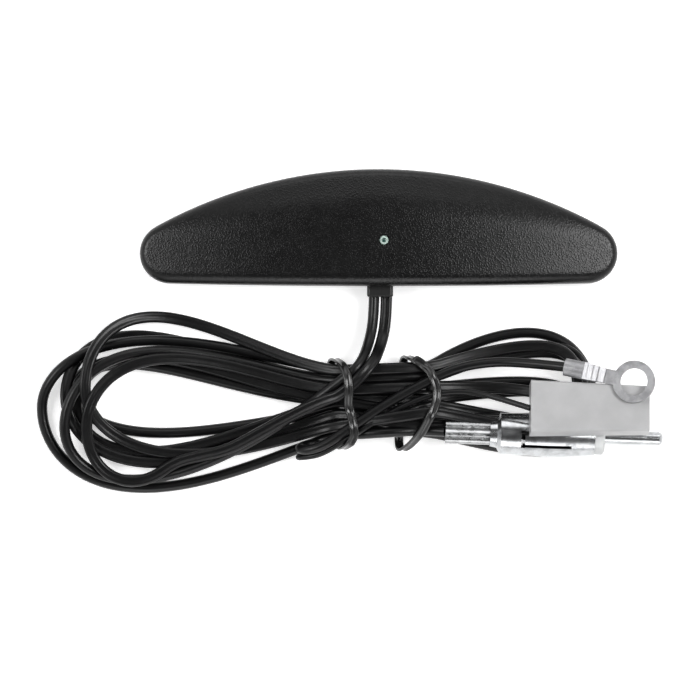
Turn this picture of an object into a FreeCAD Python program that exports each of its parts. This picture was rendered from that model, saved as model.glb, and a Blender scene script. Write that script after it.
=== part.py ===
"""Windscreen radio aerial with amplifier: bow-shaped case, two leads in a tied hank, aerial plug,
ring terminal and nylon supply connector.

Frame: millimetres, +Z up. The origin is on the surface that the part lies on, under the plan centre
of the case. +X runs along the case, +Y points to its curved edge, and the leads come out at -Y.
"""
import FreeCAD
import Part
import math
import os

V = FreeCAD.Vector
X_AXIS = V(1, 0, 0)
Y_AXIS = V(0, 1, 0)
Z_AXIS = V(0, 0, 1)

# Case
HALF_WIDTH_Y = 13.7          # plan centre to the apex of the bow, and to the straight edge
BOW_RADIUS = 108.2           # curved edge in plan
END_RADIUS = 7.06            # round ends in plan
END_X = 48.9                 # centre of a round end
END_Y = -6.0
CROWN_RADIUS = 312.0         # the top falls away towards the ends
CASE_TOP = 13.5
WALL = 1.8
EDGE_FILLET = 3.3            # upper edge of the cover
LINER_T = 0.2
TAPE_T = 1.0
RIM_Z = LINER_T + TAPE_T     # lower rim of the cover
BASE_T = 1.6
BASE_TOP = RIM_Z + BASE_T
FIT_GAP = 0.15
TAPE_INSET = 3.2

# Fixings
SCREW_D = 2.0
SCREW_HEAD_D = 3.6
BOSS_D = 4.4
HOUSING_SCREWS = [(-45.0, -5.0), (45.0, -5.0), (-31.0, 3.4), (31.0, 3.4)]
HOUSING_SCREW_L = 6.0

# Circuit board and what it carries
PCB_X = 52.0
PCB_Y = 15.0
PCB_T = 1.0
PCB_CENTRE_Y = 0.6
PCB_Z = BASE_TOP + 2.0
PCB_TOP = PCB_Z + PCB_T
PCB_SCREWS = [(-23.0, -4.0), (23.0, -4.0), (-23.0, 5.2), (23.0, 5.2)]
CHOKE = V(-16.5, 2.2, PCB_TOP + 1.9)
CAN_X = 17.0
CAN_Y = -4.2
LED_X = 1.25
LED_Y = -3.0
LED_D = 2.3
LED_HOLE_D = 2.5
LED_TIP_Z = 13.75
LED_FOOT_Z = 8.6             # underside of its flange, held off the board by the legs
LED_LEG_PITCH = 1.28

# Cables
COAX_D = 2.5
TWIN_CORE_D = 1.35
GROUND_D = 2.3
SUPPLY_D = 1.4
GLAND_X = 0.35
GLAND_W = 6.1
GLAND_TOP = 8.1
GLAND_OUT_Y = -16.2
CABLE_Z = 4.9
COAX_X = -1.05
TWIN_X = 1.85
CORE_END_L = 8.2             # jacket inside the case, before the bared cores
CLAMP_X = 5.6
CLAMP_Y = -9.4

# Hank of spare cable, held by two flat ties
HANK_TOP = 8.6
PLUG_CHANNEL_Z = 2.5         # the hank is low where the plug lies on it
PLUG_CHANNEL_X = 10.5
PLUG_CHANNEL_Y = -43.2
TIE_WIDTH = 2.0
TIE_T = 0.9
TIE_TOP = 12.4
TIE_LEFT_X = (-8.9, -6.2)    # at its +Y end and at its -Y end
TIE_LEFT_Y = (-51.2, -31.0)
TIE_RIGHT_X = (10.0, 8.6)
TIE_RIGHT_Y = (-52.0, -29.6)

# Aerial plug
PLUG_TURN = -2.0             # degrees in plan
PLUG_DIP = 3.0               # degrees, from the hank down to its one lowest turn
PLUG_START = V(15.6, -47.7, 9.4)
FERRULE_L = 10.4
SLEEVE_L = 24.5
SLEEVE_R = 4.95
SLEEVE_WALL = 0.5
COLLAR_L = 2.3
COLLAR_R = 4.25
PIN_R = 1.575
PIN_CORE_R = 1.3             # inside the collar
PIN_L = 13.9
SLOT_ANGLES = (15, 135, 255)
SLOT_W = 0.8
TONGUE_W = 3.2

# Ring terminal for the ground lead
RING_HOLE_R = 3.2
RING_R = 4.95
RING_T = 0.9
RING_CENTRE = 16.4           # from the open end of its barrel
RING_BARREL_R = 2.05
RING_BARREL_L = 4.6
RING_AT = V(43.4, -32.6, 15.4)
RING_HEADING = -11.5
RING_RISE = 12.0             # it climbs on to the connector
RING_ROLL = 6.0

# Nylon supply connector
BLOCK_L = 27.7
BLOCK_W = 12.5
BLOCK_W_FAR = 10.8
BLOCK_H = 5.6
BLOCK_TILT = 14.0            # it leans from the plug down on to the hank
BLOCK_DIP = 3.0
BLOCK_HEADING = -1.2
BLOCK_AT = V(35.3, -42.2, 15.3)
BLOCK_WALL = 1.3

# Routes of the cables that lie free, as corner points
COAX_LEAD = [
    (-1.05, -16.2, 4.9),
    (-1.15, -21.6, 5.0),
    (-2.3, -27.2, 5.9),
    (-4.4, -32.4, 7.0),
    (-6.6, -36.6, 7.6),
]
TWIN_LEAD = [
    (1.85, -16.2, 4.9),
    (1.75, -21.8, 5.0),
    (0.6, -27.4, 5.9),
    (-1.6, -32.5, 7.0),
    (-4.0, -36.6, 7.6),
]
GROUND_ROUTE = [
    (-19.0, -52.9, 8.7),
    (-13.2, -51.4, 9.9),
    (-6.8, -46.9, 10.25),
    (0.6, -41.9, 10.3),
    (9.0, -37.2, 10.2),
    (17.4, -33.0, 9.9),
    (26.4, -31.3, 10.4),
    (35.4, -31.7, 12.6),
    (RING_AT.x, RING_AT.y, RING_AT.z),
]
SUPPLY_ROUTE = [
    (-19.4, -54.7, 7.9),
    (-13.0, -53.4, 8.9),
    (-5.2, -48.0, 9.8),
    (4.6, -42.2, 10.0),
    (13.4, -38.6, 10.0),
    (22.0, -38.3, 10.8),
    (29.0, -40.2, 12.8),
    (BLOCK_AT.x, BLOCK_AT.y, BLOCK_AT.z),
]
COAX_TAIL = [
    (10.5, -47.4, 7.6),
    (PLUG_START.x, PLUG_START.y, PLUG_START.z),
]

# Plan outline of the hank, and the teardrop gap in its left end
HANK_EDGE = [
    (-80.6, -42.5), (-77.0, -30.6), (-66.0, -22.2), (-49.5, -20.0), (-30.0, -24.8), (-12.0, -31.4),
    (2.0, -32.7), (16.0, -29.6), (36.0, -22.9), (47.5, -25.6), (54.0, -35.0), (57.6, -45.5),
    (52.0, -54.2), (34.0, -55.0), (14.0, -51.4), (2.0, -50.2), (-12.0, -52.4), (-30.0, -58.8),
    (-50.0, -62.8), (-66.0, -58.6), (-76.6, -51.4),
]
HANK_EYE = [
    (-67.0, -41.0), (-57.0, -33.8), (-38.0, -36.6), (-17.5, -41.4), (-38.0, -45.4), (-57.0, -46.6),
]


def save(name, shape):
    """Writes one node, as separate solids where it has more than one."""
    solids = shape.Solids
    out = solids[0] if len(solids) == 1 else Part.makeCompound(solids)
    out.exportStep("parts/%s.step" % name)
    volume = sum(s.Volume for s in solids)
    print("%-24s %2d solids %9.1f mm3 valid %s" % (name, len(solids), volume, out.isValid()))


def cyl(radius, height, at, axis=Z_AXIS):
    return Part.makeCylinder(radius, height, at, axis)


def box(size, centre):
    """Box from its size and its centre."""
    corner = V(centre[0] - size[0] / 2, centre[1] - size[1] / 2, centre[2] - size[2] / 2)
    return Part.makeBox(size[0], size[1], size[2], corner)


def arc(a, b, c):
    return Part.Arc(a, b, c).toShape()


# ---------------------------------------------------------------- case

def bow_outline(inset, z):
    """Closed plan outline of the case, a stated distance inside its outer wall."""
    end_r = END_RADIUS - inset
    lean = math.atan2(END_X, BOW_RADIUS - HALF_WIDTH_Y + END_Y)
    tip_x = END_X + end_r * math.sin(lean)
    tip_y = END_Y + end_r * math.cos(lean)
    top = V(0, HALF_WIDTH_Y - inset, z)
    low_y = END_Y - end_r
    edge_y = -HALF_WIDTH_Y + inset
    halves = []
    for side in (-1, 1):
        swing = lean / 2
        bow_r = BOW_RADIUS - inset
        centre_y = HALF_WIDTH_Y - BOW_RADIUS
        mid = V(side * bow_r * math.sin(swing), centre_y + bow_r * math.cos(swing), z)
        tip = V(side * tip_x, tip_y, z)
        out_angle = (lean - math.pi / 2) / 2
        nose = V(side * (END_X + end_r * math.cos(out_angle)), END_Y + end_r * math.sin(out_angle), z)
        foot = V(side * END_X, low_y, z)
        halves.append((mid, tip, nose, foot))
    (lm, lt, ln, lf), (rm, rt, rn, rf) = halves
    straight = arc(lf, V(0, edge_y, z), rf)
    right = [arc(rf, rn, rt), arc(rt, rm, top)]
    left = [arc(top, lm, lt), arc(lt, ln, lf)]
    return Part.Wire([straight] + right + left)


def bow_plate(inset, z_low, height):
    return Part.Face(bow_outline(inset, z_low)).extrude(V(0, 0, height))


def crowned_body(inset, z_low, drop, edge_r):
    """Bow-shaped block with a crowned top whose upper edge is rounded all round."""
    block = bow_plate(inset, z_low, CASE_TOP + 5 - z_low)
    crown = cyl(CROWN_RADIUS - drop, 60, V(0, -30, CASE_TOP - CROWN_RADIUS), Y_AXIS)
    body = block.common(crown).removeSplitter()
    rim = [e for e in body.Edges if min(v.Z for v in e.Vertexes) > z_low + 2]
    return body.makeFillet(edge_r, rim)


def make_top_cover():
    outer = crowned_body(0, RIM_Z, 0, EDGE_FILLET)
    inner = crowned_body(WALL, RIM_Z - 1, WALL, EDGE_FILLET - WALL)
    shell = outer.cut(inner)
    for x, y in HOUSING_SCREWS:
        boss = cyl(BOSS_D / 2, CASE_TOP - BASE_TOP, V(x, y, BASE_TOP)).common(outer)
        shell = shell.fuse(boss)
    for x, y in HOUSING_SCREWS:
        shell = shell.cut(cyl(SCREW_D / 2 + 0.02, HOUSING_SCREW_L, V(x, y, RIM_Z)))
    shell = shell.cut(cyl(LED_HOLE_D / 2, 6, V(LED_X, LED_Y, CASE_TOP - 4)))
    notch_h = GLAND_TOP - RIM_Z + 1
    notch = box((GLAND_W + 0.1, 6, notch_h), (GLAND_X, -HALF_WIDTH_Y, GLAND_TOP - notch_h / 2))
    return shell.cut(notch).removeSplitter()


def make_base_plate():
    plate = bow_plate(WALL + FIT_GAP, RIM_Z, BASE_T)
    for x, y in PCB_SCREWS:
        plate = plate.fuse(cyl(2.0, PCB_Z - BASE_TOP, V(x, y, BASE_TOP)))
    for x, y in PCB_SCREWS:
        plate = plate.cut(cyl(0.82, PCB_Z - BASE_TOP + 1.2, V(x, y, BASE_TOP - 1.2)))
    for x, y in HOUSING_SCREWS:
        plate = plate.cut(cyl(SCREW_D / 2 + 0.1, BASE_T, V(x, y, RIM_Z)))
        plate = plate.cut(Part.makeCone(SCREW_HEAD_D / 2 + 0.05, SCREW_D / 2, 1.2, V(x, y, RIM_Z)))
    plate = plate.cut(cyl(0.82, BASE_T, V(CLAMP_X, CLAMP_Y, RIM_Z)))
    return plate.removeSplitter()


def make_housing_screws():
    screws = []
    for x, y in HOUSING_SCREWS:
        head = Part.makeCone(SCREW_HEAD_D / 2, SCREW_D / 2 - 0.05, 1.15, V(x, y, RIM_Z))
        shank = cyl(SCREW_D / 2 - 0.02, HOUSING_SCREW_L - 0.6, V(x, y, RIM_Z + 0.1))
        cross = box((2.0, 0.45, 1.0), (x, y, RIM_Z))
        cross = cross.fuse(box((0.45, 2.0, 1.0), (x, y, RIM_Z)))
        screws.append(head.fuse(shank).cut(cross).removeSplitter())
    return Part.makeCompound(screws)


def make_tape():
    return bow_plate(TAPE_INSET, LINER_T, TAPE_T)


def make_liner():
    """Peel-off paper of the tape, with a finger tab at the right end."""
    sheet = bow_plate(TAPE_INSET, 0, LINER_T)
    tab = cyl(3.4, LINER_T, V(END_X + 1.6, END_Y, 0))
    return sheet.fuse(tab).removeSplitter()


# ---------------------------------------------------------------- electronics

def make_pcb():
    board = box((PCB_X, PCB_Y, PCB_T), (0, PCB_CENTRE_Y, PCB_Z + PCB_T / 2))
    corners = [e for e in board.Edges if abs(e.tangentAt(e.FirstParameter).z) > 0.9]
    board = board.makeFillet(1.2, corners)
    relief = box((8, 4, 4), (GLAND_X, PCB_CENTRE_Y - PCB_Y / 2, PCB_Z))
    board = board.cut(relief)
    for x, y in PCB_SCREWS:
        board = board.cut(cyl(1.05, 4, V(x, y, PCB_Z - 1)))
    for side in (-0.5, 0.5):
        board = board.cut(cyl(0.3, 4, V(LED_X + side * LED_LEG_PITCH, LED_Y, PCB_Z - 1)))
    return board.removeSplitter()


def make_pcb_screws():
    screws = []
    for x, y in PCB_SCREWS:
        shank = cyl(0.8, 4.0, V(x, y, PCB_TOP - 4.0))
        head = cyl(1.7, 1.0, V(x, y, PCB_TOP))
        head = head.makeFillet(0.4, [e for e in head.Edges if e.BoundBox.ZMin > PCB_TOP + 0.9])
        slot = box((2.0, 0.45, 0.9), (x, y, PCB_TOP + 1.0))
        slot = slot.fuse(box((0.45, 2.0, 0.9), (x, y, PCB_TOP + 1.0)))
        screws.append(shank.fuse(head).cut(slot).removeSplitter())
    return Part.makeCompound(screws)


def make_led():
    radius = LED_D / 2
    dome_z = LED_TIP_Z - radius
    flange_t = 0.8
    body = cyl(radius, dome_z - LED_FOOT_Z - flange_t, V(LED_X, LED_Y, LED_FOOT_Z + flange_t))
    dome = Part.makeSphere(radius, V(LED_X, LED_Y, dome_z))
    flange = cyl(radius + 0.35, flange_t, V(LED_X, LED_Y, LED_FOOT_Z))
    return body.fuse([dome, flange]).removeSplitter()


def make_led_legs():
    height = LED_FOOT_Z - (PCB_Z - 0.6)
    legs = []
    for side in (-0.5, 0.5):
        centre = (LED_X + side * LED_LEG_PITCH, LED_Y, LED_FOOT_Z - height / 2)
        legs.append(box((0.4, 0.4, height), centre))
    return Part.makeCompound(legs)


def chip_row(size, places):
    """Surface-mount parts: one block each, some turned across the board."""
    length, width, height = size
    chips = []
    for x, y, turned in places:
        along = (width, length, height) if turned else (length, width, height)
        chips.append(box(along, (x, y, PCB_TOP + height / 2)))
    return Part.makeCompound(chips)


def make_chip_resistors():
    places = [(-15 + 4.2 * i, -1.2 - 0.9 * (i % 2), i % 2 == 1) for i in range(4)]
    places += [(9.0 + 3.4 * i, 5.6, i % 2 == 0) for i in range(4)]
    return chip_row((2.0, 1.25, 0.5), places)


def make_chip_capacitors():
    places = [(-17.5 + 4.4 * i, 6.2, False) for i in range(4)]
    places += [(14.5 + 3.0 * i, 0.4, True) for i in range(2)]
    return chip_row((2.0, 1.25, 0.8), places)


def make_transistors():
    """Two amplifier transistors: moulded bodies, each with three gull-wing legs."""
    parts = []
    for x, y in ((-7.5, 2.6), (10.5, 1.4)):
        body = box((2.9, 1.3, 1.0), (x, y, PCB_TOP + 0.65))
        legs = [(x - 0.95, y - 0.95), (x + 0.95, y - 0.95), (x, y + 0.95)]
        for lx, ly in legs:
            body = body.fuse(box((0.45, 0.9, 0.2), (lx, ly, PCB_TOP + 0.25)))
            body = body.fuse(box((0.45, 0.4, 0.35), (lx, ly + math.copysign(0.3, ly - y), PCB_TOP + 0.175)))
        parts.append(body.removeSplitter())
    return Part.makeCompound(parts)


def make_electrolytic():
    can = cyl(2.0, 4.6, V(CAN_X, CAN_Y, PCB_TOP + 0.6))
    can = can.makeFillet(0.4, [e for e in can.Edges if e.BoundBox.ZMin > PCB_TOP + 5])
    base = box((4.3, 4.3, 0.6), (CAN_X, CAN_Y, PCB_TOP + 0.3))
    return can.fuse(base).removeSplitter()


def make_choke_core():
    ring = cyl(3.0, 2.2, CHOKE - V(0, 0, 1.1))
    return ring.cut(cyl(1.4, 3, CHOKE - V(0, 0, 1.5)))


def make_choke_winding():
    """Nine turns of wire round the toroid, each a rectangular loop standing off the core."""
    turns = []
    core = make_choke_core()
    for i in range(9):
        loop = box((2.3, 0.42, 3.0), (2.2, 0, 0)).cut(box((1.62, 1, 2.22), (2.2, 0, 0)))
        loop.rotate(V(0, 0, 0), Z_AXIS, 24 + 39 * i)
        loop.translate(CHOKE)
        turns.append(loop.cut(core))
    return Part.makeCompound(turns)


def make_air_coils():
    """Two small tuning coils, stacked rings on a lying axis."""
    coils = []
    for x, y in ((-1.5, 5.4), (5.5, -1.6)):
        rings = None
        for i in range(5):
            start = V(x - 1.6 + 0.64 * i, y, PCB_TOP + 1.35)
            ring = cyl(1.3, 0.5, start, X_AXIS).cut(cyl(0.85, 0.5, start, X_AXIS))
            link = box((0.7, 0.45, 0.35), (start.x + 0.5, y, PCB_TOP + 0.2))
            rings = ring.fuse(link) if rings is None else rings.fuse(ring).fuse(link)
        coils.append(rings.removeSplitter())
    return Part.makeCompound(coils)


def make_aerial_element(side):
    """Sprung copper strip in one wing of the case, soldered to the board's end."""
    start_x = PCB_X / 2 - 3.2
    points = [(start_x, 2.6), (30.0, -0.6), (37.0, 1.4), (46.0, -1.8)]
    strips = []
    for (x0, y0), (x1, y1) in zip(points, points[1:]):
        length = math.hypot(x1 - x0, y1 - y0)
        strip = box((length + 0.6, 2.6, 0.3), (length / 2, 0, 0))
        strip.rotate(V(0, 0, 0), Z_AXIS, math.degrees(math.atan2(y1 - y0, x1 - x0)))
        strip.translate(V(x0, y0, PCB_TOP + 0.15))
        strips.append(strip)
    element = strips[0].fuse(strips[1:]).removeSplitter()
    for x, y in HOUSING_SCREWS:
        element = element.cut(cyl(BOSS_D / 2 + 0.3, 4, V(abs(x), y, PCB_TOP - 2)))
    if side < 0:
        element = element.mirror(V(0, 0, 0), X_AXIS)
    element = element.cut(make_pcb_screws())
    return max(element.Solids, key=lambda s: s.Volume)


def make_solder_mounds():
    """Solder mounds that hold the two strips to the board."""
    mounds = []
    for side in (-1, 1):
        ball = Part.makeSphere(1.1, V(side * 23.6, 1.2, PCB_TOP + 0.1))
        above = box((6, 6, 3), (side * 23.6, 1.2, PCB_TOP + 1.5 + 0.3))
        mounds.append(ball.common(above).cut(make_pcb_screws()))
    return Part.makeCompound(mounds)


# ---------------------------------------------------------------- cable entry

def rounded_bar(width, height, length, centre_x, centre_z, y_end, radius):
    """Bar along Y with rounded long edges, ending at y_end and running towards +Y."""
    bar = Part.makeBox(width, length, height, V(centre_x - width / 2, y_end, centre_z - height / 2))
    long_edges = [e for e in bar.Edges if abs(e.tangentAt(e.FirstParameter).y) > 0.9]
    return bar.makeFillet(radius, long_edges)


def twin_section_bar(y_end, length, grow=0.0):
    """The two joined cores of the twin lead, straight along Y."""
    cores = []
    for side in (-0.5, 0.5):
        place = V(TWIN_X + side * TWIN_CORE_D, y_end, CABLE_Z)
        cores.append(cyl(TWIN_CORE_D / 2 + grow, length, place, Y_AXIS))
    bridge = box((TWIN_CORE_D, length, 0.5), (TWIN_X, y_end + length / 2, CABLE_Z))
    return cores[0].fuse([cores[1], bridge]).removeSplitter()


def make_gland():
    mid_z = (RIM_Z + GLAND_TOP) / 2
    height = GLAND_TOP - RIM_Z - 0.1
    wall_in_y = -HALF_WIDTH_Y + WALL
    nose = rounded_bar(GLAND_W, height, wall_in_y - GLAND_OUT_Y + 0.1, GLAND_X, mid_z, GLAND_OUT_Y, 0.7)
    nose = nose.makeFillet(0.4, [e for e in nose.Edges if e.BoundBox.YMax < GLAND_OUT_Y + 0.01])
    collar = box((GLAND_W + 2.4, 1.3, GLAND_TOP + 0.9 - BASE_TOP),
                 (GLAND_X, wall_in_y + 0.75, (GLAND_TOP + 0.9 + BASE_TOP) / 2))
    gland = nose.fuse(collar)
    rest_h = BASE_TOP - RIM_Z
    rest = box((20, 6, rest_h + 0.02), (GLAND_X, wall_in_y - FIT_GAP + 3.1, RIM_Z + rest_h / 2))
    gland = gland.cut(rest)
    gland = gland.cut(cyl(COAX_D / 2, 12, V(COAX_X, GLAND_OUT_Y - 1, CABLE_Z), Y_AXIS))
    return gland.cut(twin_section_bar(GLAND_OUT_Y - 1, 12)).removeSplitter()


def make_coax_core_end():
    """Jacketed coax inside the case, then its bared core up to the board."""
    jacket = cyl(COAX_D / 2, CORE_END_L, V(COAX_X, GLAND_OUT_Y, CABLE_Z), Y_AXIS)
    core = cyl(0.45, 2.6, V(COAX_X, GLAND_OUT_Y + CORE_END_L, CABLE_Z), Y_AXIS)
    return jacket.fuse(core).removeSplitter()


def make_supply_core_ends():
    bar = twin_section_bar(GLAND_OUT_Y, CORE_END_L)
    for side in (-0.5, 0.5):
        place = V(TWIN_X + side * TWIN_CORE_D, GLAND_OUT_Y + CORE_END_L, CABLE_Z)
        bar = bar.fuse(cyl(0.3, 2.6, place, Y_AXIS))
    return bar.removeSplitter()


def make_cable_clamp():
    """Saddle over both cables, screwed to the base beside them."""
    width = 3.0
    low = BASE_TOP
    top = CABLE_Z + COAX_D / 2 + 0.8
    saddle = Part.makeBox(CLAMP_X + 2.0 + 3.4, width, top - low, V(-3.4, CLAMP_Y - width / 2, low))
    step = Part.makeBox(4.0, width + 1, top - low, V(CLAMP_X - 1.7, CLAMP_Y - width / 2 - 0.5, low + 1.2))
    tunnel = Part.makeBox(6.2, width + 1, CABLE_Z + COAX_D / 2 - low, V(-2.6, CLAMP_Y - width / 2 - 0.5, low))
    saddle = saddle.cut(step).cut(tunnel)
    saddle = saddle.cut(cyl(1.05, 10, V(CLAMP_X, CLAMP_Y, low - 1)))
    return saddle.removeSplitter()


def make_clamp_screw():
    shank = cyl(0.8, 2.6, V(CLAMP_X, CLAMP_Y, BASE_TOP + 1.2 - 2.6))
    head = cyl(1.6, 1.0, V(CLAMP_X, CLAMP_Y, BASE_TOP + 1.2))
    slot = box((3.4, 0.45, 0.9), (CLAMP_X, CLAMP_Y, BASE_TOP + 2.3))
    return shank.fuse(head).cut(slot).removeSplitter()


# ---------------------------------------------------------------- cables

def tube(name, route, radius):
    """Cable along straight runs joined by tangent arcs, as large as the shorter run allows."""
    points = [V(*p) for p in route]
    edges = []
    here = points[0]
    radii = []
    for before, corner, after in zip(points, points[1:], points[2:]):
        incoming = (corner - before).normalize()
        outgoing = (after - corner).normalize()
        turn = incoming.getAngle(outgoing)
        setback = 0.45 * min((corner - before).Length, (after - corner).Length)
        bend_r = setback / math.tan(turn / 2)
        radii.append(bend_r)
        start = corner - incoming * setback
        end = corner + outgoing * setback
        inward = (outgoing - incoming).normalize()
        to_centre = bend_r / math.cos(turn / 2)
        middle = corner + inward * (to_centre - bend_r)
        edges.append(Part.LineSegment(here, start).toShape())
        edges.append(arc(start, middle, end))
        here = end
    edges.append(Part.LineSegment(here, points[-1]).toShape())
    path = Part.Wire(edges)
    first = (points[1] - points[0]).normalize()
    ring = Part.Wire([Part.Circle(points[0], first, radius).toShape()])
    solid = path.makePipeShell([ring], True, False)
    expected = math.pi * radius * radius * path.Length
    print("%-14s length %6.1f volume/expected %.4f least radius %s" % (
        name, path.Length, solid.Volume / expected, "%.1f" % min(radii) if radii else "straight"))
    return solid


def clear_of(cable, *others):
    """The part of a cable's tube that stands clear of the hank and its ties, in one piece."""
    for other in others:
        cable = cable.cut(other)
    return max(cable.Solids, key=lambda s: s.Volume)


def closed_curve(points):
    spline = Part.BSplineCurve()
    spline.interpolate([V(x, y, 0) for x, y in points], PeriodicFlag=True)
    return Part.Wire([spline.toShape()])


def make_hank(ties):
    """Outer shape of the tied hank: fanned loops at both ends, a teardrop eye in the left one."""
    body = Part.Face(closed_curve(HANK_EDGE)).extrude(V(0, 0, HANK_TOP))
    eye = Part.Face(closed_curve(HANK_EYE)).extrude(V(0, 0, HANK_TOP + 2))
    body = body.cut(eye)
    channel = Part.makeBox(60, 20, 20, V(PLUG_CHANNEL_X, PLUG_CHANNEL_Y - 20, PLUG_CHANNEL_Z))
    body = body.cut(channel)
    return body.cut(ties)


def make_tie(ends_x, ends_y):
    """Flat plastic twist tie round the hank: a closed band that leans from its -Y end to its +Y end."""
    low_y, high_y = ends_y
    high_x, low_x = ends_x
    bow = closed_band(low_y, high_y, TIE_TOP)
    bow.translate(V((high_x + low_x) / 2 - TIE_WIDTH / 2, 0, 0))
    lean = (high_x - low_x) / (high_y - low_y)
    skew = FreeCAD.Matrix()
    skew.A12 = lean
    skew.A14 = -lean * (low_y + high_y) / 2
    return bow.transformGeometry(skew)


def closed_band(low_y, high_y, top_z):
    """Upright band round the X axis' direction, on the ground, with rounded corners."""
    outer = Part.makeBox(TIE_WIDTH, high_y - low_y, top_z, V(0, low_y, 0))
    outer = outer.makeFillet(3.4, edges_along_x(outer))
    size = (TIE_WIDTH + 2, high_y - low_y - 2 * TIE_T, top_z - 2 * TIE_T)
    inner = Part.makeBox(*size, V(-1, low_y + TIE_T, TIE_T))
    inner = inner.makeFillet(3.4 - TIE_T, edges_along_x(inner))
    return outer.cut(inner)


def edges_along_x(shape):
    """Straight edges that run along X."""
    return [e for e in shape.Edges if abs(e.tangentAt(e.FirstParameter).x) > 0.9]


# ---------------------------------------------------------------- aerial plug

def on_plug(shape):
    """Moves a shape built along +X from the origin to the plug's place."""
    shape.rotate(V(0, 0, 0), Y_AXIS, PLUG_DIP)
    shape.rotate(V(0, 0, 0), Z_AXIS, PLUG_TURN)
    shape.translate(PLUG_START)
    return shape


def turned(profile):
    """Solid of revolution about X from (x, radius) points."""
    points = [V(x, r, 0) for x, r in profile]
    face = Part.Face(Part.makePolygon(points + [points[0]]))
    return face.revolve(V(0, 0, 0), X_AXIS, 360)


def make_plug_ferrule():
    """Rolled crimp: two lobes of folded sheet round the coax, a flat tongue into the sleeve."""
    upper = cyl(1.75, FERRULE_L, V(0, 1.05, 0), X_AXIS)
    lower = cyl(1.3, FERRULE_L, V(0, -1.5, 0), X_AXIS)
    bridge = box((FERRULE_L, 2.6, 2.4), (FERRULE_L / 2, -0.4, -0.1))
    body = upper.fuse([lower, bridge]).removeSplitter()
    groove = box((FERRULE_L + 2, 0.25, 1.2), (FERRULE_L / 2, -0.55, 1.5))
    return body.cut(groove)


def make_plug_sleeve():
    """Sprung outer contact: barrel-shaped tube with a shoulder and U-slots that free its tongues."""
    x0 = FERRULE_L
    r = SLEEVE_R
    t = SLEEVE_WALL
    profile = [
        (x0, 2.2), (x0, 3.1), (x0 + 1.6, 3.4), (x0 + 2.4, r - 0.15), (x0 + 7, r), (x0 + 13.5, r + 0.2),
        (x0 + 17.5, r + 0.1), (x0 + SLEEVE_L, r - 0.5), (x0 + SLEEVE_L, r - 0.5 - t),
        (x0 + 17.5, r + 0.1 - t),
        (x0 + 13.5, r + 0.2 - t), (x0 + 7, r - t), (x0 + 3.0, r - 0.15 - t), (x0 + 2.2, 2.6), (x0 + 0.8, 2.2),
    ]
    sleeve = turned(profile)
    for angle in SLOT_ANGLES:
        cross = box((SLOT_W * 1.2, TONGUE_W + 1.0, 4), (x0 + 7.6, 0, r))
        sides = [box((11.6, SLOT_W, 4), (x0 + 13.2, side * TONGUE_W / 2, r)) for side in (-1, 1)]
        slots = cross.fuse(sides)
        slots.rotate(V(0, 0, 0), X_AXIS, angle)
        sleeve = sleeve.cut(slots)
    return sleeve.removeSplitter()


def make_plug_insulator():
    """White bush that closes the sleeve and carries the pin."""
    x1 = FERRULE_L + SLEEVE_L
    x2 = x1 + COLLAR_L
    bore = PIN_CORE_R
    return turned([(x1 - 5, bore), (x1 - 5, 3.7), (x1 - 0.2, 3.85), (x1, 3.9), (x1, COLLAR_R),
                   (x2 - 0.4, COLLAR_R), (x2, COLLAR_R - 0.4), (x2, bore)])


def make_plug_pin():
    """Centre contact: a slim stem through the bush, then the full pin with a domed tip."""
    x1 = FERRULE_L + SLEEVE_L
    face = x1 + COLLAR_L
    end = face + PIN_L
    return turned([(x1 - 8, 0), (x1 - 8, PIN_CORE_R), (face, PIN_CORE_R), (face, PIN_R), (end - 0.9, PIN_R),
                   (end - 0.45, PIN_R - 0.25), (end - 0.1, PIN_R - 0.75), (end, 0)])


# ---------------------------------------------------------------- ring terminal

def on_ring_lead(shape):
    """Moves a shape built along +X from the barrel's mouth to the end of the ground lead."""
    shape.rotate(V(0, 0, 0), X_AXIS, -RING_ROLL)
    shape.rotate(V(0, 0, 0), Y_AXIS, -RING_RISE)
    shape.rotate(V(0, 0, 0), Z_AXIS, RING_HEADING)
    shape.translate(RING_AT)
    return shape


def make_ring_terminal():
    """Stamped tinned copper: crimp barrel, serrated neck and flat ring."""
    plate_z = -RING_BARREL_R
    barrel = cyl(RING_BARREL_R, RING_BARREL_L, V(0, 0, 0), X_AXIS)
    barrel = barrel.cut(cyl(GROUND_D / 2, RING_BARREL_L - 0.6, V(0, 0, 0), X_AXIS))
    wide = Part.makePolygon([V(4.6, -2.0, plate_z), V(4.6, 2.0, plate_z), V(4.6, 2.0, 0.9), V(4.6, -2.0, 0.9),
                             V(4.6, -2.0, plate_z)])
    slim = Part.makePolygon([V(9.4, -1.7, plate_z), V(9.4, 1.7, plate_z), V(9.4, 1.7, plate_z + 1.2),
                             V(9.4, -1.7, plate_z + 1.2), V(9.4, -1.7, plate_z)])
    neck = Part.makeLoft([wide, slim], True)
    link = Part.makeBox(4.4, 3.4, RING_T, V(9.2, -1.7, plate_z))
    ring = cyl(RING_R, RING_T, V(RING_CENTRE, 0, plate_z))
    body = barrel.fuse([neck, link, ring])
    for i in range(3):
        body = body.cut(box((0.35, 5, 0.3), (5.5 + 1.2 * i, 0, 0.75 - 0.5 * i)))
    body = body.cut(cyl(RING_HOLE_R, 4, V(RING_CENTRE, 0, plate_z - 1)))
    return body.removeSplitter()


# ---------------------------------------------------------------- supply connector

def on_block(shape):
    """Moves a shape built along +X from its left face's centre to the connector's place."""
    shape.rotate(V(0, 0, 0), X_AXIS, -BLOCK_TILT)
    shape.rotate(V(0, 0, 0), Y_AXIS, BLOCK_DIP)
    shape.rotate(V(0, 0, 0), Z_AXIS, BLOCK_HEADING)
    shape.translate(BLOCK_AT)
    return shape


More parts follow.
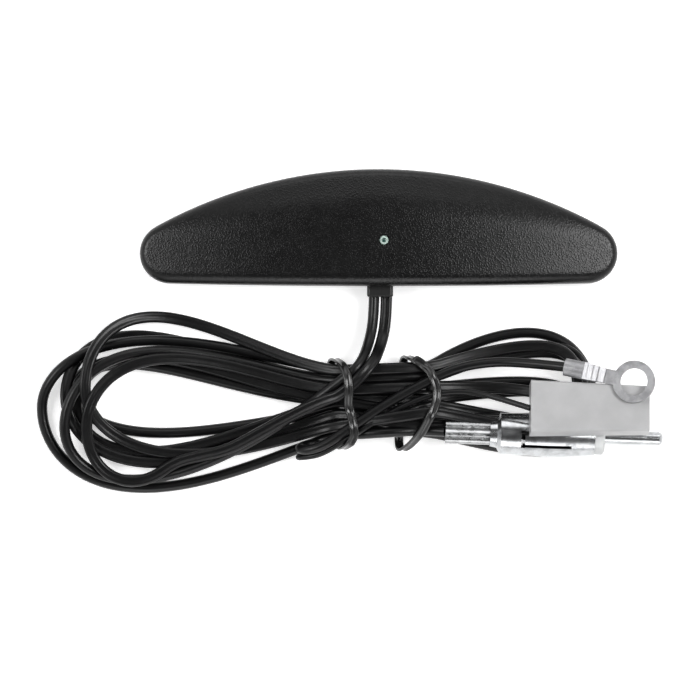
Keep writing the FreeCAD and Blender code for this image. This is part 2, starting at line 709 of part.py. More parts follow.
def make_connector_housing():
    """Nylon shroud, a little narrower at its mouth, with a wire hole at the back."""
    half_h = BLOCK_H / 2
    sections = []
    for x, width in ((0, BLOCK_W), (BLOCK_L, BLOCK_W_FAR)):
        half = width / 2
        sections.append(Part.makePolygon([V(x, -half, -half_h), V(x, half, -half_h), V(x, half, half_h),
                                          V(x, -half, half_h), V(x, -half, -half_h)]))
    body = Part.makeLoft(sections, True)
    body = body.makeFillet(0.7, edges_along_x(body))
    cavity = box((BLOCK_L - 3.0, BLOCK_W_FAR - 2 * BLOCK_WALL, BLOCK_H - 2 * BLOCK_WALL),
                 ((BLOCK_L + 3.0) / 2 + 0.01, 0, 0))
    body = body.cut(cavity)
    return body.cut(cyl(SUPPLY_D / 2 + 0.02, 6, V(-1, 0, 0), X_AXIS)).removeSplitter()


def make_blade_receptacle():
    """Female blade contact in the shroud: crimp barrel, then a box with curled edges."""
    barrel = cyl(1.2, 4.0, V(3.1, 0, 0), X_AXIS).cut(cyl(SUPPLY_D / 2, 3.4, V(3.1, 0, 0), X_AXIS))
    floor = box((14.0, 6.8, 0.4), (14.0, 0, -1.0))
    curls = [cyl(0.95, 7.6, V(13.4, side * 2.45, -0.35), X_AXIS) for side in (-1, 1)]
    gap = box((9, 5.6, 0.8), (17.4, 0, -0.35))
    web = box((1.6, 2.0, 1.4), (7.2, 0, -0.5))
    body = floor.fuse(curls).cut(gap).fuse([barrel, web])
    return body.removeSplitter()


def main():
    os.makedirs("parts", exist_ok=True)
    save("top_cover", make_top_cover())
    save("base_plate", make_base_plate())
    save("housing_screws", make_housing_screws())
    save("mounting_tape", make_tape())
    save("release_liner", make_liner())
    save("pcb", make_pcb())
    save("pcb_screws", make_pcb_screws())
    save("led", make_led())
    save("led_legs", make_led_legs())
    save("chip_resistors", make_chip_resistors())
    save("chip_capacitors", make_chip_capacitors())
    save("rf_transistors", make_transistors())
    save("electrolytic_capacitor", make_electrolytic())
    save("choke_core", make_choke_core())
    save("choke_winding", make_choke_winding())
    save("air_coils", make_air_coils())
    save("aerial_element_left", make_aerial_element(-1))
    save("aerial_element_right", make_aerial_element(1))
    save("solder_mounds", make_solder_mounds())
    save("cable_gland", make_gland())
    save("coax_core_end", make_coax_core_end())
    save("supply_core_ends", make_supply_core_ends())
    save("cable_clamp", make_cable_clamp())
    save("clamp_screw", make_clamp_screw())
    tie_left = make_tie(TIE_LEFT_X, TIE_LEFT_Y)
    tie_right = make_tie(TIE_RIGHT_X, TIE_RIGHT_Y)
    ties = tie_left.fuse(tie_right)
    hank = make_hank(ties)
    save("twist_tie_left", tie_left)
    save("twist_tie_right", tie_right)
    save("cable_hank", hank)
    save("coax_lead", clear_of(tube("coax_lead", COAX_LEAD, COAX_D / 2), hank, ties))
    save("twin_lead", clear_of(tube("twin_lead", TWIN_LEAD, COAX_D / 2), hank, ties))
    save("ground_wire", clear_of(tube("ground_wire", GROUND_ROUTE, GROUND_D / 2), hank, ties))
    housing = on_block(make_connector_housing())
    supply = clear_of(tube("supply_wire", SUPPLY_ROUTE, SUPPLY_D / 2), hank, ties)
    save("supply_wire", clear_of(supply, housing))
    ferrule = on_plug(make_plug_ferrule())
    save("coax_tail", clear_of(tube("coax_tail", COAX_TAIL, COAX_D / 2), hank, ferrule))
    save("plug_ferrule", ferrule)
    save("plug_sleeve", on_plug(make_plug_sleeve()))
    save("plug_insulator", on_plug(make_plug_insulator()))
    save("plug_pin", on_plug(make_plug_pin()))
    save("ring_terminal", on_ring_lead(make_ring_terminal()))
    save("connector_housing", housing)
    save("blade_receptacle", on_block(make_blade_receptacle()))


main()
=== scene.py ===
"""Stick-on radio aerial with its tied leads: finishes, free cables, stage, lamps and camera.

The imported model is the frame. The case, the plug and the terminals keep the places it gives them, and
the cables follow smooth routes through the hank's space. The cables, the ties and the cover are worked out
in millimetres and turned into metres as they are made. Finishes, lamps and the camera are in metres.
"""

import logging
import math
from dataclasses import dataclass, field
from enum import Enum
from typing import Any, Iterable, Sequence

import bpy
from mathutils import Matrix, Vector


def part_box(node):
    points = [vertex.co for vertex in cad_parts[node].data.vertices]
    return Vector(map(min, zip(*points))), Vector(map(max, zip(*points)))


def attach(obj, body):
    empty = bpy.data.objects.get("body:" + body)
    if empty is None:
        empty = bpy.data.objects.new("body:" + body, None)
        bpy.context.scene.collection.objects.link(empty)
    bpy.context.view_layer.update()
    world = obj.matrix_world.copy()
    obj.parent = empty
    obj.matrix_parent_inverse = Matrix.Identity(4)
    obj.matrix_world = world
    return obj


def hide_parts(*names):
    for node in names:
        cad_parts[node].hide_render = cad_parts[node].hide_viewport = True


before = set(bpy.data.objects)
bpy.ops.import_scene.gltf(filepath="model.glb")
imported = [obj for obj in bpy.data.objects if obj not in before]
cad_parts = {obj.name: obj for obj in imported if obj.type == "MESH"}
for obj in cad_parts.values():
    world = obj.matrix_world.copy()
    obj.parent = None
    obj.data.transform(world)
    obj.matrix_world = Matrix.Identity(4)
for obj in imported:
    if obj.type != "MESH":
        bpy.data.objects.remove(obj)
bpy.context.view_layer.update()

logging.basicConfig(level=logging.INFO, format="%(message)s")
LOG = logging.getLogger("aerial")

MM = 0.001
# Points closer than this are merged.
SEAM = 0.00002
ROOT = "root"

Point = tuple[float, float, float]
PlanPoint = tuple[float, float]
Colour = tuple[float, float, float]


# ------------------------------------------------------------------ shader maths

class Sock:
    """A shader socket that adds Math nodes when it meets an operator."""

    def __init__(self, bench: "Bench", value: Any) -> None:
        """Keeps the bench that nodes are added on and the wrapped output socket."""
        self.bench = bench
        self.value = value

    def _math(self, operation: str, other: Any) -> "Sock":
        """Adds one Math node on this value and another."""
        return self.bench.add("ShaderNodeMath", {"operation": operation}, {0: self, 1: other})

    def __add__(self, other: Any) -> "Sock":
        """Sum."""
        return self._math("ADD", other)

    __radd__ = __add__

    def __mul__(self, other: Any) -> "Sock":
        """Product."""
        return self._math("MULTIPLY", other)

    __rmul__ = __mul__

    def __sub__(self, other: Any) -> "Sock":
        """Difference."""
        return self._math("SUBTRACT", other)

    def __rsub__(self, other: Any) -> "Sock":
        """Difference from a number."""
        return self.bench.add("ShaderNodeMath", {"operation": "SUBTRACT"}, {0: other, 1: self})

    def clamp(self, low: float, high: float) -> "Sock":
        """Limits the value to a range."""
        return self._math("MAXIMUM", low)._math("MINIMUM", high)

    def step(self, low: float, high: float) -> "Sock":
        """Smooth step from 0 at low to 1 at high."""
        inputs = {"Value": self, 1: low, 2: high, 3: 0.0, 4: 1.0}
        return self.bench.add("ShaderNodeMapRange", {"interpolation_type": "SMOOTHSTEP"}, inputs)


class Bench:
    """Node tree of one material or world, with one method that adds any node."""

    def __init__(self, name: str, world: bool = False) -> None:
        """Makes an empty node tree with its output node.

        Args:
            name: name of the material or world.
            world: whether it is a world.
        """
        self.material = (bpy.data.worlds if world else bpy.data.materials).new(name)
        self.material.use_nodes = True
        self.tree = self.material.node_tree
        self.tree.nodes.clear()
        self.output = self.tree.nodes.new("ShaderNodeOutputWorld" if world else "ShaderNodeOutputMaterial")

    def add(self, kind: str, settings: dict[str, Any], inputs: dict[Any, Any], out: Any = 0) -> Sock:
        """Adds a node.

        Args:
            kind: the node's type name.
            settings: properties, which are set before the inputs.
            inputs: values or sockets by input name or number.
            out: name or number of the output to return.

        Returns:
            The wrapped output socket.
        """
        node = self.tree.nodes.new(kind)
        for key, value in settings.items():
            setattr(node, key, value)
        for key, value in inputs.items():
            if isinstance(value, Sock):
                self.tree.links.new(value.value, node.inputs[key])
            else:
                node.inputs[key].default_value = value
        return Sock(self, node.outputs[out])

    def coords(self) -> Sock:
        """Object coordinates."""
        return self.add("ShaderNodeTexCoord", {}, {}, "Object")

    def noise(self, scale: float, detail: float, rough: float = 0.5) -> Sock:
        """Noise value from 0 to 1, at a number of cells per metre."""
        inputs = {"Vector": self.coords(), "Scale": scale, "Detail": detail, "Roughness": rough}
        return self.add("ShaderNodeTexNoise", {}, inputs)

    def pebbles(self, size: float, smoothness: float) -> Sock:
        """Distance from the middle of the nearest of many rounded pebbles of a size in metres."""
        inputs = {"Vector": self.coords(), "Scale": 1.0 / size, "Smoothness": smoothness}
        return self.add("ShaderNodeTexVoronoi", {"feature": "SMOOTH_F1"}, inputs, "Distance")

    def mix(self, factor: Any, low: Colour, high: Colour) -> Sock:
        """Colour between two colours."""
        inputs = {0: factor, 6: (*low, 1.0), 7: (*high, 1.0)}
        return self.add("ShaderNodeMix", {"data_type": "RGBA"}, inputs, 2)

    def bump(self, height: Sock, distance: float) -> Sock:
        """Normal from a height that stands for a distance in metres."""
        return self.add("ShaderNodeBump", {}, {"Height": height, "Distance": distance, "Strength": 1.0})

    def backdrop_ray(self) -> Sock:
        """Tells apart rays that should meet a white background: the camera's, and those in metal and glass.

        Returns:
            1 for such a ray and 0 for any other.
        """
        rays = [self.add("ShaderNodeLightPath", {}, {}, f"Is {kind} Ray")
                for kind in ("Camera", "Glossy", "Transmission")]
        return (rays[0] + rays[1] + rays[2]).clamp(0.0, 1.0)

    def finish(self, **values: Any) -> bpy.types.Material:
        """Adds the surface shader and links it to the output.

        Args:
            values: the shader's inputs by name, with underscores for spaces.

        Returns:
            The finished material.
        """
        named = {key.replace("_", " "): value for key, value in values.items()}
        shader = self.add("ShaderNodeBsdfPrincipled", {}, named)
        self.tree.links.new(shader.value, self.output.inputs["Surface"])
        return self.material


# ------------------------------------------------------------------ finishes

def scaled(colour: Colour, factor: float, lift: float = 0.0) -> Colour:
    """Colour made lighter or darker by a factor and a lift."""
    return tuple(min(1.0, part * factor + lift) for part in colour)


@dataclass(frozen=True)
class MouldedPlastic:
    """Moulded plastic with faint mottling and an optional pebble grain."""

    name: str
    colour: Colour
    rough: float = 0.45
    grain_size: float = 0.0
    grain_depth: float = 0.0
    coat: float = 0.0
    shine: float = 0.5
    mottles_per_m: float = 260.0
    mottle_gain: float = 1.35
    mottle_lift: float = 0.002
    rough_spread: float = 0.1
    specks_per_m: float = 2600.0
    speck_share: float = 0.25
    speck_depth: float = 0.00002
    pebble_smoothness: float = 0.35
    pebble_edge: tuple[float, float] = (0.12, 0.62)

    def build(self) -> bpy.types.Material:
        """Makes the material.

        Returns:
            The plastic, with pebbles where it has a grain size.
        """
        bench = Bench(self.name)
        mottle = bench.noise(self.mottles_per_m, detail=3.0, rough=0.6)
        lighter = scaled(self.colour, self.mottle_gain, self.mottle_lift)
        base = bench.mix(mottle, self.colour, lighter)
        height = bench.noise(self.specks_per_m, detail=2.0, rough=0.6) * self.speck_share
        depth = self.speck_depth
        if self.grain_size:
            pebbles = bench.pebbles(self.grain_size, self.pebble_smoothness)
            height = (1.0 - pebbles.step(*self.pebble_edge)) + height
            depth = self.grain_depth
        rough = mottle * self.rough_spread + (self.rough - self.rough_spread / 2)
        return bench.finish(Base_Color=base, Roughness=rough, Normal=bench.bump(height, depth),
                            Coat_Weight=self.coat, Specular_IOR_Level=self.shine)


@dataclass(frozen=True)
class PlatedMetal:
    """Bright or dull plated metal with darker clouds and small dents."""

    name: str
    colour: Colour
    rough: float = 0.2
    blotch: float = 0.1
    dents: float = 0.00001
    clouds_per_m: float = 420.0
    cloud_edge: tuple[float, float] = (0.35, 0.65)
    cloud_shade: float = 0.72
    dents_per_m: float = 900.0

    def build(self) -> bpy.types.Material:
        """Makes the material.

        Returns:
            The metal.
        """
        bench = Bench(self.name)
        cloud = bench.noise(self.clouds_per_m, detail=4.0, rough=0.65)
        base = bench.mix(cloud.step(*self.cloud_edge), scaled(self.colour, self.cloud_shade), self.colour)
        rough = cloud * self.blotch + (self.rough - self.blotch / 2)
        normal = bench.bump(bench.noise(self.dents_per_m, detail=3.0, rough=0.6), self.dents)
        return bench.finish(Base_Color=base, Metallic=1.0, Roughness=rough, Normal=normal)


@dataclass(frozen=True)
class CableJacket:
    """Black flexible PVC with a soft sheen, faint extrusion waviness and dust."""

    name: str
    colour: Colour = (0.004, 0.004, 0.0042)
    rough: float = 0.32
    shine: float = 0.26
    clouds_per_m: float = 300.0
    rough_spread: float = 0.14
    dust_per_m: float = 5200.0
    dust_edge: tuple[float, float] = (0.74, 0.8)
    dust_lift: float = 0.05
    waves_per_m: float = 1400.0
    wave_depth: float = 0.00002

    def build(self) -> bpy.types.Material:
        """Makes the material.

        Returns:
            The cable's jacket.
        """
        bench = Bench(self.name)
        cloud = bench.noise(self.clouds_per_m, detail=3.0, rough=0.6)
        dust = bench.noise(self.dust_per_m, detail=2.0, rough=0.7).step(*self.dust_edge)
        base = bench.mix(dust, self.colour, scaled(self.colour, 1.0, self.dust_lift))
        rough = cloud * self.rough_spread + (self.rough - self.rough_spread / 2)
        normal = bench.bump(bench.noise(self.waves_per_m, detail=2.0), self.wave_depth)
        return bench.finish(Base_Color=base, Roughness=rough, Normal=normal,
                            Specular_IOR_Level=self.shine)


@dataclass(frozen=True)
class MilkyNylon:
    """Unpigmented nylon: pale, waxy and a little see-through in its thin parts."""

    name: str
    colour: Colour = (0.46, 0.46, 0.465)
    rough: float = 0.34
    clouds_per_m: float = 160.0
    cloud_edge: tuple[float, float] = (0.3, 0.7)
    cloud_shades: tuple[float, float] = (0.92, 1.04)
    ripples_per_m: float = 1800.0
    ripple_depth: float = 0.00002
    scatter: float = 0.25
    scatter_radius: Colour = (0.9, 0.9, 0.95)
    scatter_scale: float = 0.0012

    def build(self) -> bpy.types.Material:
        """Makes the material.

        Returns:
            The nylon.
        """
        bench = Bench(self.name)
        cloud = bench.noise(self.clouds_per_m, detail=3.0)
        darker, lighter = (scaled(self.colour, shade) for shade in self.cloud_shades)
        base = bench.mix(cloud.step(*self.cloud_edge), darker, lighter)
        normal = bench.bump(bench.noise(self.ripples_per_m, detail=2.0), self.ripple_depth)
        return bench.finish(Base_Color=base, Roughness=self.rough, Normal=normal,
                            Subsurface_Weight=self.scatter, Subsurface_Radius=self.scatter_radius,
                            Subsurface_Scale=self.scatter_scale)


@dataclass(frozen=True)
class ClearLens:
    """Clear epoxy of the lamp, pale green, with the dark cup of the chip in its middle."""

    name: str
    centre: PlanPoint
    cup_radius: float = 0.00042
    cup_edge: float = 1.7
    cup_tint: Colour = (0.02, 0.07, 0.06)
    tints: tuple[Colour, Colour] = ((0.5, 0.68, 0.6), (0.8, 0.95, 0.88))
    tints_per_m: float = 1500.0
    rough: float = 0.08
    clearness: float = 0.15
    ior: float = 1.5

    def build(self) -> bpy.types.Material:
        """Makes the material.

        Returns:
            The lamp's epoxy.
        """
        bench = Bench(self.name)
        offset = bench.add("ShaderNodeVectorMath", {"operation": "SUBTRACT"},
                           {0: bench.coords(), 1: (*self.centre, 0.0)})
        level = bench.add("ShaderNodeVectorMath", {"operation": "MULTIPLY"}, {0: offset, 1: (1.0, 1.0, 0.0)})
        radius = bench.add("ShaderNodeVectorMath", {"operation": "LENGTH"}, {0: level}, "Value")
        clear = radius.step(self.cup_radius, self.cup_radius * self.cup_edge)
        epoxy = bench.mix(bench.noise(self.tints_per_m, detail=1.0), *self.tints)
        cup = bench.mix(clear, self.cup_tint, (1.0, 1.0, 1.0))
        base = bench.add("ShaderNodeMix", {"data_type": "RGBA", "blend_type": "MULTIPLY"},
                         {0: 1.0, 6: epoxy, 7: cup}, 2)
        return bench.finish(Base_Color=base, Roughness=self.rough, Transmission_Weight=self.clearness,
                            IOR=self.ior)


class Finish(Enum):
    """Every finish of the object, by the part it was made for."""

    COVER = MouldedPlastic("cover_black", (0.0016, 0.0016, 0.0017), 0.3, 0.00042, 0.000024, shine=0.3)
    BASE = MouldedPlastic("base_black", (0.02, 0.02, 0.021), 0.45)
    TAPE = MouldedPlastic("tape_grey", (0.15, 0.15, 0.155), 0.85, 0.0004, 0.00008)
    LINER = MouldedPlastic("liner_paper", (0.82, 0.79, 0.7), 0.5)
    BOARD = MouldedPlastic("pcb_green", (0.02, 0.14, 0.06), 0.3, coat=0.3)
    CHIP = MouldedPlastic("chip_black", (0.03, 0.03, 0.03), 0.5)
    CERAMIC = MouldedPlastic("chip_tan", (0.5, 0.36, 0.22), 0.5)
    FERRITE = MouldedPlastic("ferrite", (0.06, 0.06, 0.065), 0.6, 0.0003, 0.00002)
    GLAND = MouldedPlastic("gland_rubber", (0.004, 0.004, 0.004), 0.4, shine=0.35)
    TIE = MouldedPlastic("tie_black", (0.008, 0.008, 0.008), 0.24)
    WHITE = MouldedPlastic("plug_white", (0.56, 0.57, 0.57), 0.3)
    CABLE = CableJacket("cable_black")
    SCREW = PlatedMetal("steel_screw", (0.62, 0.61, 0.58), 0.3)
    TINNED = PlatedMetal("tinned", (0.75, 0.75, 0.74), 0.25)
    CAN = PlatedMetal("can_alu", (0.8, 0.8, 0.82), 0.25)
    COPPER = PlatedMetal("foil_copper", (0.85, 0.45, 0.28), 0.25)
    ENAMEL = PlatedMetal("enamel_copper", (0.7, 0.28, 0.12), 0.3)
    PLATE = PlatedMetal("plug_plate", (0.5, 0.51, 0.52), 0.22, 0.1, 0.000008)
    FERRULE = PlatedMetal("ferrule_plate", (0.38, 0.385, 0.39), 0.28, 0.22, 0.00007)
    TERMINAL = PlatedMetal("terminal_tin", (0.36, 0.36, 0.37), 0.46, 0.2, 0.00006)
    BRASS = PlatedMetal("receptacle_brass", (0.8, 0.64, 0.34), 0.25)
    NYLON = MilkyNylon("nylon_natural")
    LENS = ClearLens("led_clear", (0.00125, -0.003))


class Paintbox:
    """Builds each finish once and hands it to CAD nodes and new pieces."""

    def __init__(self) -> None:
        """Starts with no finish built."""
        self._made: dict[Finish, bpy.types.Material] = {}

    def get(self, finish: Finish) -> bpy.types.Material:
        """Gives the material of a finish, which is built the first time that it is asked for.

        Args:
            finish: the finish.

        Returns:
            Its material.
        """
        if finish not in self._made:
            self._made[finish] = finish.value.build()
        return self._made[finish]

    def dress(self, piece: bpy.types.Object, finish: Finish) -> None:
        """Puts one finish on a whole object."""
        piece.data.materials.clear()
        piece.data.materials.append(self.get(finish))

    def dress_slots(self, piece: bpy.types.Object, finish: Finish) -> None:
        """Puts one finish in every material slot of a CAD node."""
        for slot in piece.material_slots:
            slot.material = self.get(finish)


NODE_FINISH: dict[str, Finish] = {
    "top_cover": Finish.COVER, "base_plate": Finish.BASE, "housing_screws": Finish.SCREW,
    "mounting_tape": Finish.TAPE, "release_liner": Finish.LINER, "pcb": Finish.BOARD,
    "pcb_screws": Finish.SCREW, "led": Finish.LENS, "led_legs": Finish.TINNED,
    "chip_resistors": Finish.CHIP, "chip_capacitors": Finish.CERAMIC, "rf_transistors": Finish.CHIP,
    "electrolytic_capacitor": Finish.CAN, "choke_core": Finish.FERRITE, "choke_winding": Finish.ENAMEL,
    "air_coils": Finish.ENAMEL, "aerial_element_left": Finish.COPPER,
    "aerial_element_right": Finish.COPPER, "solder_mounds": Finish.TINNED, "cable_gland": Finish.GLAND,
    "coax_core_end": Finish.CABLE, "supply_core_ends": Finish.CABLE, "cable_clamp": Finish.BASE,
    "clamp_screw": Finish.SCREW, "twist_tie_left": Finish.TIE, "twist_tie_right": Finish.TIE,
    "cable_hank": Finish.CABLE, "coax_lead": Finish.CABLE, "twin_lead": Finish.CABLE,
    "ground_wire": Finish.CABLE, "supply_wire": Finish.CABLE, "coax_tail": Finish.CABLE,
    "plug_ferrule": Finish.FERRULE, "plug_sleeve": Finish.PLATE, "plug_insulator": Finish.WHITE,
    "plug_pin": Finish.PLATE, "ring_terminal": Finish.TERMINAL, "connector_housing": Finish.NYLON,
    "blade_receptacle": Finish.BRASS,
}


# ------------------------------------------------------------------ modelling helpers

def only(piece: bpy.types.Object) -> None:
    """Deselects everything, then selects one object and makes it active.

    Args:
        piece: the object.
    """
    bpy.ops.object.select_all(action="DESELECT")
    piece.select_set(True)
    bpy.context.view_layer.objects.active = piece


def fix_normals(piece: bpy.types.Object) -> None:
    """Turns a closed mesh's faces outwards.

    Args:
        piece: the object with the mesh.
    """
    only(piece)
    bpy.ops.object.mode_set(mode="EDIT")
    bpy.ops.mesh.select_all(action="SELECT")
    bpy.ops.mesh.normals_make_consistent(inside=False)
    bpy.ops.object.mode_set(mode="OBJECT")


def smooth_by_angle(piece: bpy.types.Object, degrees: float) -> None:
    """Smooth shading, with edges sharper than an angle left crisp."""
    only(piece)
    bpy.ops.object.shade_smooth_by_angle(angle=math.radians(degrees))


def outward_share(piece: bpy.types.Object) -> float:
    """Share of a shell's flatter faces that look up."""
    flatter = [face for face in piece.data.polygons if abs(face.normal.z) > 0.5]
    return sum(face.normal.z > 0 for face in flatter) / max(1, len(flatter))


def flip(piece: bpy.types.Object) -> None:
    """Turns every face round.

    Args:
        piece: the object with the mesh.
    """
    only(piece)
    bpy.ops.object.mode_set(mode="EDIT")
    bpy.ops.mesh.select_all(action="SELECT")
    bpy.ops.mesh.flip_normals()
    bpy.ops.object.mode_set(mode="OBJECT")


def hand_over(piece: bpy.types.Object, paint: Paintbox, finish: Finish, *nodes: str) -> None:
    """Dresses a new piece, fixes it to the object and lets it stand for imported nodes.

    Args:
        piece: the new piece.
        paint: the paint box.
        finish: its finish, which its slot is named after.
        nodes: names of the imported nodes.
    """
    paint.dress(piece, finish)
    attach(piece, ROOT)
    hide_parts(*nodes)


# How finely splines, round sections and beads are drawn, and the angle past which a swept edge is crisp.
SPLINE_STEPS = 6
SPLINE_ORDER = 3
ROUND_STEPS = 5
BEAD_POINTS = 9
SWEPT_CRISP_DEGREES = 45.0


def spline_object(name: str, points: Sequence[Point], bevel: float) -> bpy.types.Object:
    """Smooth open spline whose control points are the points of a route.

    Args:
        name: name of the piece.
        points: route in metres.
        bevel: radius of the round section, or 0 for a bare line.

    Returns:
        The curve object, linked to the scene.
    """
    curve = bpy.data.curves.new(name, "CURVE")
    curve.dimensions = "3D"
    curve.resolution_u = SPLINE_STEPS
    spline = curve.splines.new("NURBS")
    spline.points.add(len(points) - 1)
    for target, (x, y, z) in zip(spline.points, points):
        target.co = (x, y, z, 1.0)
    spline.order_u = SPLINE_ORDER
    spline.use_endpoint_u = True
    spline.use_smooth = True
    curve.bevel_depth = bevel
    curve.bevel_resolution = ROUND_STEPS
    curve.use_fill_caps = True
    piece = bpy.data.objects.new(name, curve)
    bpy.context.scene.collection.objects.link(piece)
    return piece


def followed(points: Sequence[Point]) -> list[Vector]:
    """Reads points along the smooth spline of a route.

    Args:
        points: route in metres.

    Returns:
        Points of the line that the spline draws.
    """
    line = spline_object("route_line", points, 0.0)
    bpy.context.view_layer.update()
    graph = bpy.context.evaluated_depsgraph_get()
    mesh = bpy.data.meshes.new_from_object(line.evaluated_get(graph))
    path = [vertex.co.copy() for vertex in mesh.vertices]
    bpy.data.meshes.remove(mesh)
    bpy.data.objects.remove(line)
    return path


def length_of(path: Sequence[Vector]) -> float:
    """Length of a polyline."""
    return sum((b - a).length for a, b in zip(path, path[1:]))


def to_metres(points: Iterable[Point]) -> list[Point]:
    """Route in metres from a route in millimetres."""
    return [(x * MM, y * MM, z * MM) for x, y, z in points]


def paired_section(centre: float, radius: float, wrap: float) -> list[tuple[float, float]]:
    """Section of two round beads joined by a web.

    Args:
        centre: distance of each bead's centre from the middle, in metres.
        radius: radius of a bead, in metres.
        wrap: angle in degrees, from the outer side, at which the web leaves a bead.

    Returns:
        The closed outline as (across, up) in metres.
    """
    points = []
    for side in (1, -1):
        for i in range(BEAD_POINTS):
            angle = math.radians(-wrap + 2 * wrap * i / (BEAD_POINTS - 1))
            points.append((side * (centre + radius * math.cos(angle)), side * radius * math.sin(angle)))
    return points


def sweep(name: str, path: Sequence[Vector], section: Sequence[tuple[float, float]],
          along_x: bool = False) -> bpy.types.Object:
    """Mesh of a section carried along a path.

    Args:
        name: name of the piece.
        path: centre line in metres.
        section: closed outline as (across, up) in metres.
        along_x: whether the width keeps to the X direction as well as it can, rather than level.

    Returns:
        The mesh object, linked to the scene.
    """
    corners: list[Vector] = []
    count = len(section)
    for i, here in enumerate(path):
        along = (path[min(i + 1, len(path) - 1)] - path[max(i - 1, 0)]).normalized()
        if along_x:
            across = (Vector((1, 0, 0)) - along * along.x).normalized()
        else:
            across = along.cross(Vector((0, 0, 1))).normalized()
        up = across.cross(along)
        corners += [here + across * u + up * v for u, v in section]
    faces = []
    for i in range(len(path) - 1):
        here, ahead = i * count, (i + 1) * count
        for j in range(count):
            k = (j + 1) % count
            faces.append((here + j, here + k, ahead + k, ahead + j))
    faces.append(tuple(range(count - 1, -1, -1)))
    faces.append(tuple(range((len(path) - 1) * count, len(path) * count)))
    mesh = bpy.data.meshes.new(name)
    mesh.from_pydata([tuple(corner) for corner in corners], [], faces)
    mesh.validate()
    piece = bpy.data.objects.new(name, mesh)
    bpy.context.scene.collection.objects.link(piece)
    fix_normals(piece)
    smooth_by_angle(piece, SWEPT_CRISP_DEGREES)
    return piece


# ------------------------------------------------------------------ cables, in millimetres

# The hank's lobes end here, and its straight waist runs between.
LEFT_TIE_X = -9.0
RIGHT_TIE_X = 13.0
# Steps along one side of a lobe, how they shorten towards its far end, and steps across the waist.
LEFT_STEPS = 14
RIGHT_STEPS = 10
STEP_SHORTENING = 0.75
WAIST_STEPS = 3
# Points of a cable's first turn that belong to its way in from the gland.
ENTRY_POINTS = 6
# Middles of the bands under the two ties, how wide they are, and how much the pile is lifted there.
TIE_BANDS_X = (-8.8, 7.6)
TIE_BAND_WIDTH = 5.0
TIE_LIFT = 1.0


@dataclass(frozen=True)
class Cable:
    """One kind of cable: half its width, half its height, and how square its section is."""

    half_w: float
    half_h: float
    squareness: float


COAX = Cable(1.25, 1.25, 2.0)
TWIN = Cable(1.35, 0.675, 4.0)
GROUND = Cable(1.15, 1.15, 2.0)
SUPPLY = Cable(0.7, 0.7, 2.0)


@dataclass(frozen=True)
class Lobe:
    """One end of a hank's turn, in plan, as a drop that closes at the tie.

    s runs from 0 at the tie to 1 at the far end. A bulge widens each side, and its flare says how late.
    A dent pushes a side by depth at a place s, over a width in s. Bluntness over 1 squares off the far end.
    """

    reach: float
    centre_y: float
    up: tuple[float, float]
    low: tuple[float, float]
    up_dent: tuple[float, float, float] = (0.5, 0.0, 0.1)
    low_dent: tuple[float, float, float] = (0.5, 0.0, 0.1)
    blunt: float = 1.0

    def side(self, tie_x: float, tie_y: float, upper: bool, count: int) -> list[PlanPoint]:
        """Follows one side of the lobe.

        Args:
            tie_x: where the lobe starts along the hank.
            tie_y: where it starts across the hank.
            upper: whether it is the side towards the case.
            count: number of steps.

        Returns:
            Points from the tie to the far end.
        """
        bulge, flare = self.up if upper else self.low
        at, depth, width = self.up_dent if upper else self.low_dent
        sign = 1.0 if upper else -1.0
        points = []
        for i in range(count + 1):
            angle = math.pi * (i / count) ** STEP_SHORTENING
            s = (1 - math.cos(angle)) / 2
            x = tie_x + (self.reach - tie_x) * (1 - (1 - s) ** self.blunt)
            y = tie_y * (1 - s) + self.centre_y * s
            y += sign * bulge * math.sin(angle) * s ** flare
            y += depth * math.exp(-((s - at) / width) ** 2)
            points.append((x, y))
        return points


@dataclass(frozen=True)
class Turn:
    """One turn of the hank: both lobes, and how far across they start at each tie, upper side first."""

    left: Lobe
    right: Lobe
    left_tie: tuple[float, float]
    right_tie: tuple[float, float]

    def left_side(self, upper: bool) -> list[PlanPoint]:
        """One side of the left lobe, from the tie outwards."""
        return self.left.side(LEFT_TIE_X, self.left_tie[0 if upper else 1], upper, LEFT_STEPS)

    def right_loop(self) -> list[PlanPoint]:
        """Follows the right lobe.

        Returns:
            Points from the tie along the upper side and back along the lower side.
        """
        out = self.right.side(RIGHT_TIE_X, self.right_tie[0], True, RIGHT_STEPS)
        back = self.right.side(RIGHT_TIE_X, self.right_tie[1], False, RIGHT_STEPS)
        return out + back[-2::-1]

    def round(self) -> list[PlanPoint]:
        """Follows the whole turn.

        Returns:
            Points from the left tie's lower side, round both lobes, to the right tie's lower side.
        """
        left = self.left_side(False) + self.left_side(True)[-2::-1]
        return left + waist(left[-1], (RIGHT_TIE_X, self.right_tie[0])) + self.right_loop()


def waist(start: PlanPoint, end: PlanPoint) -> list[PlanPoint]:
    """Points of a straight run between the ties, without its ends."""
    share = [i / WAIST_STEPS for i in range(1, WAIST_STEPS)]
    return [(start[0] + (end[0] - start[0]) * t, start[1] + (end[1] - start[1]) * t) for t in share]


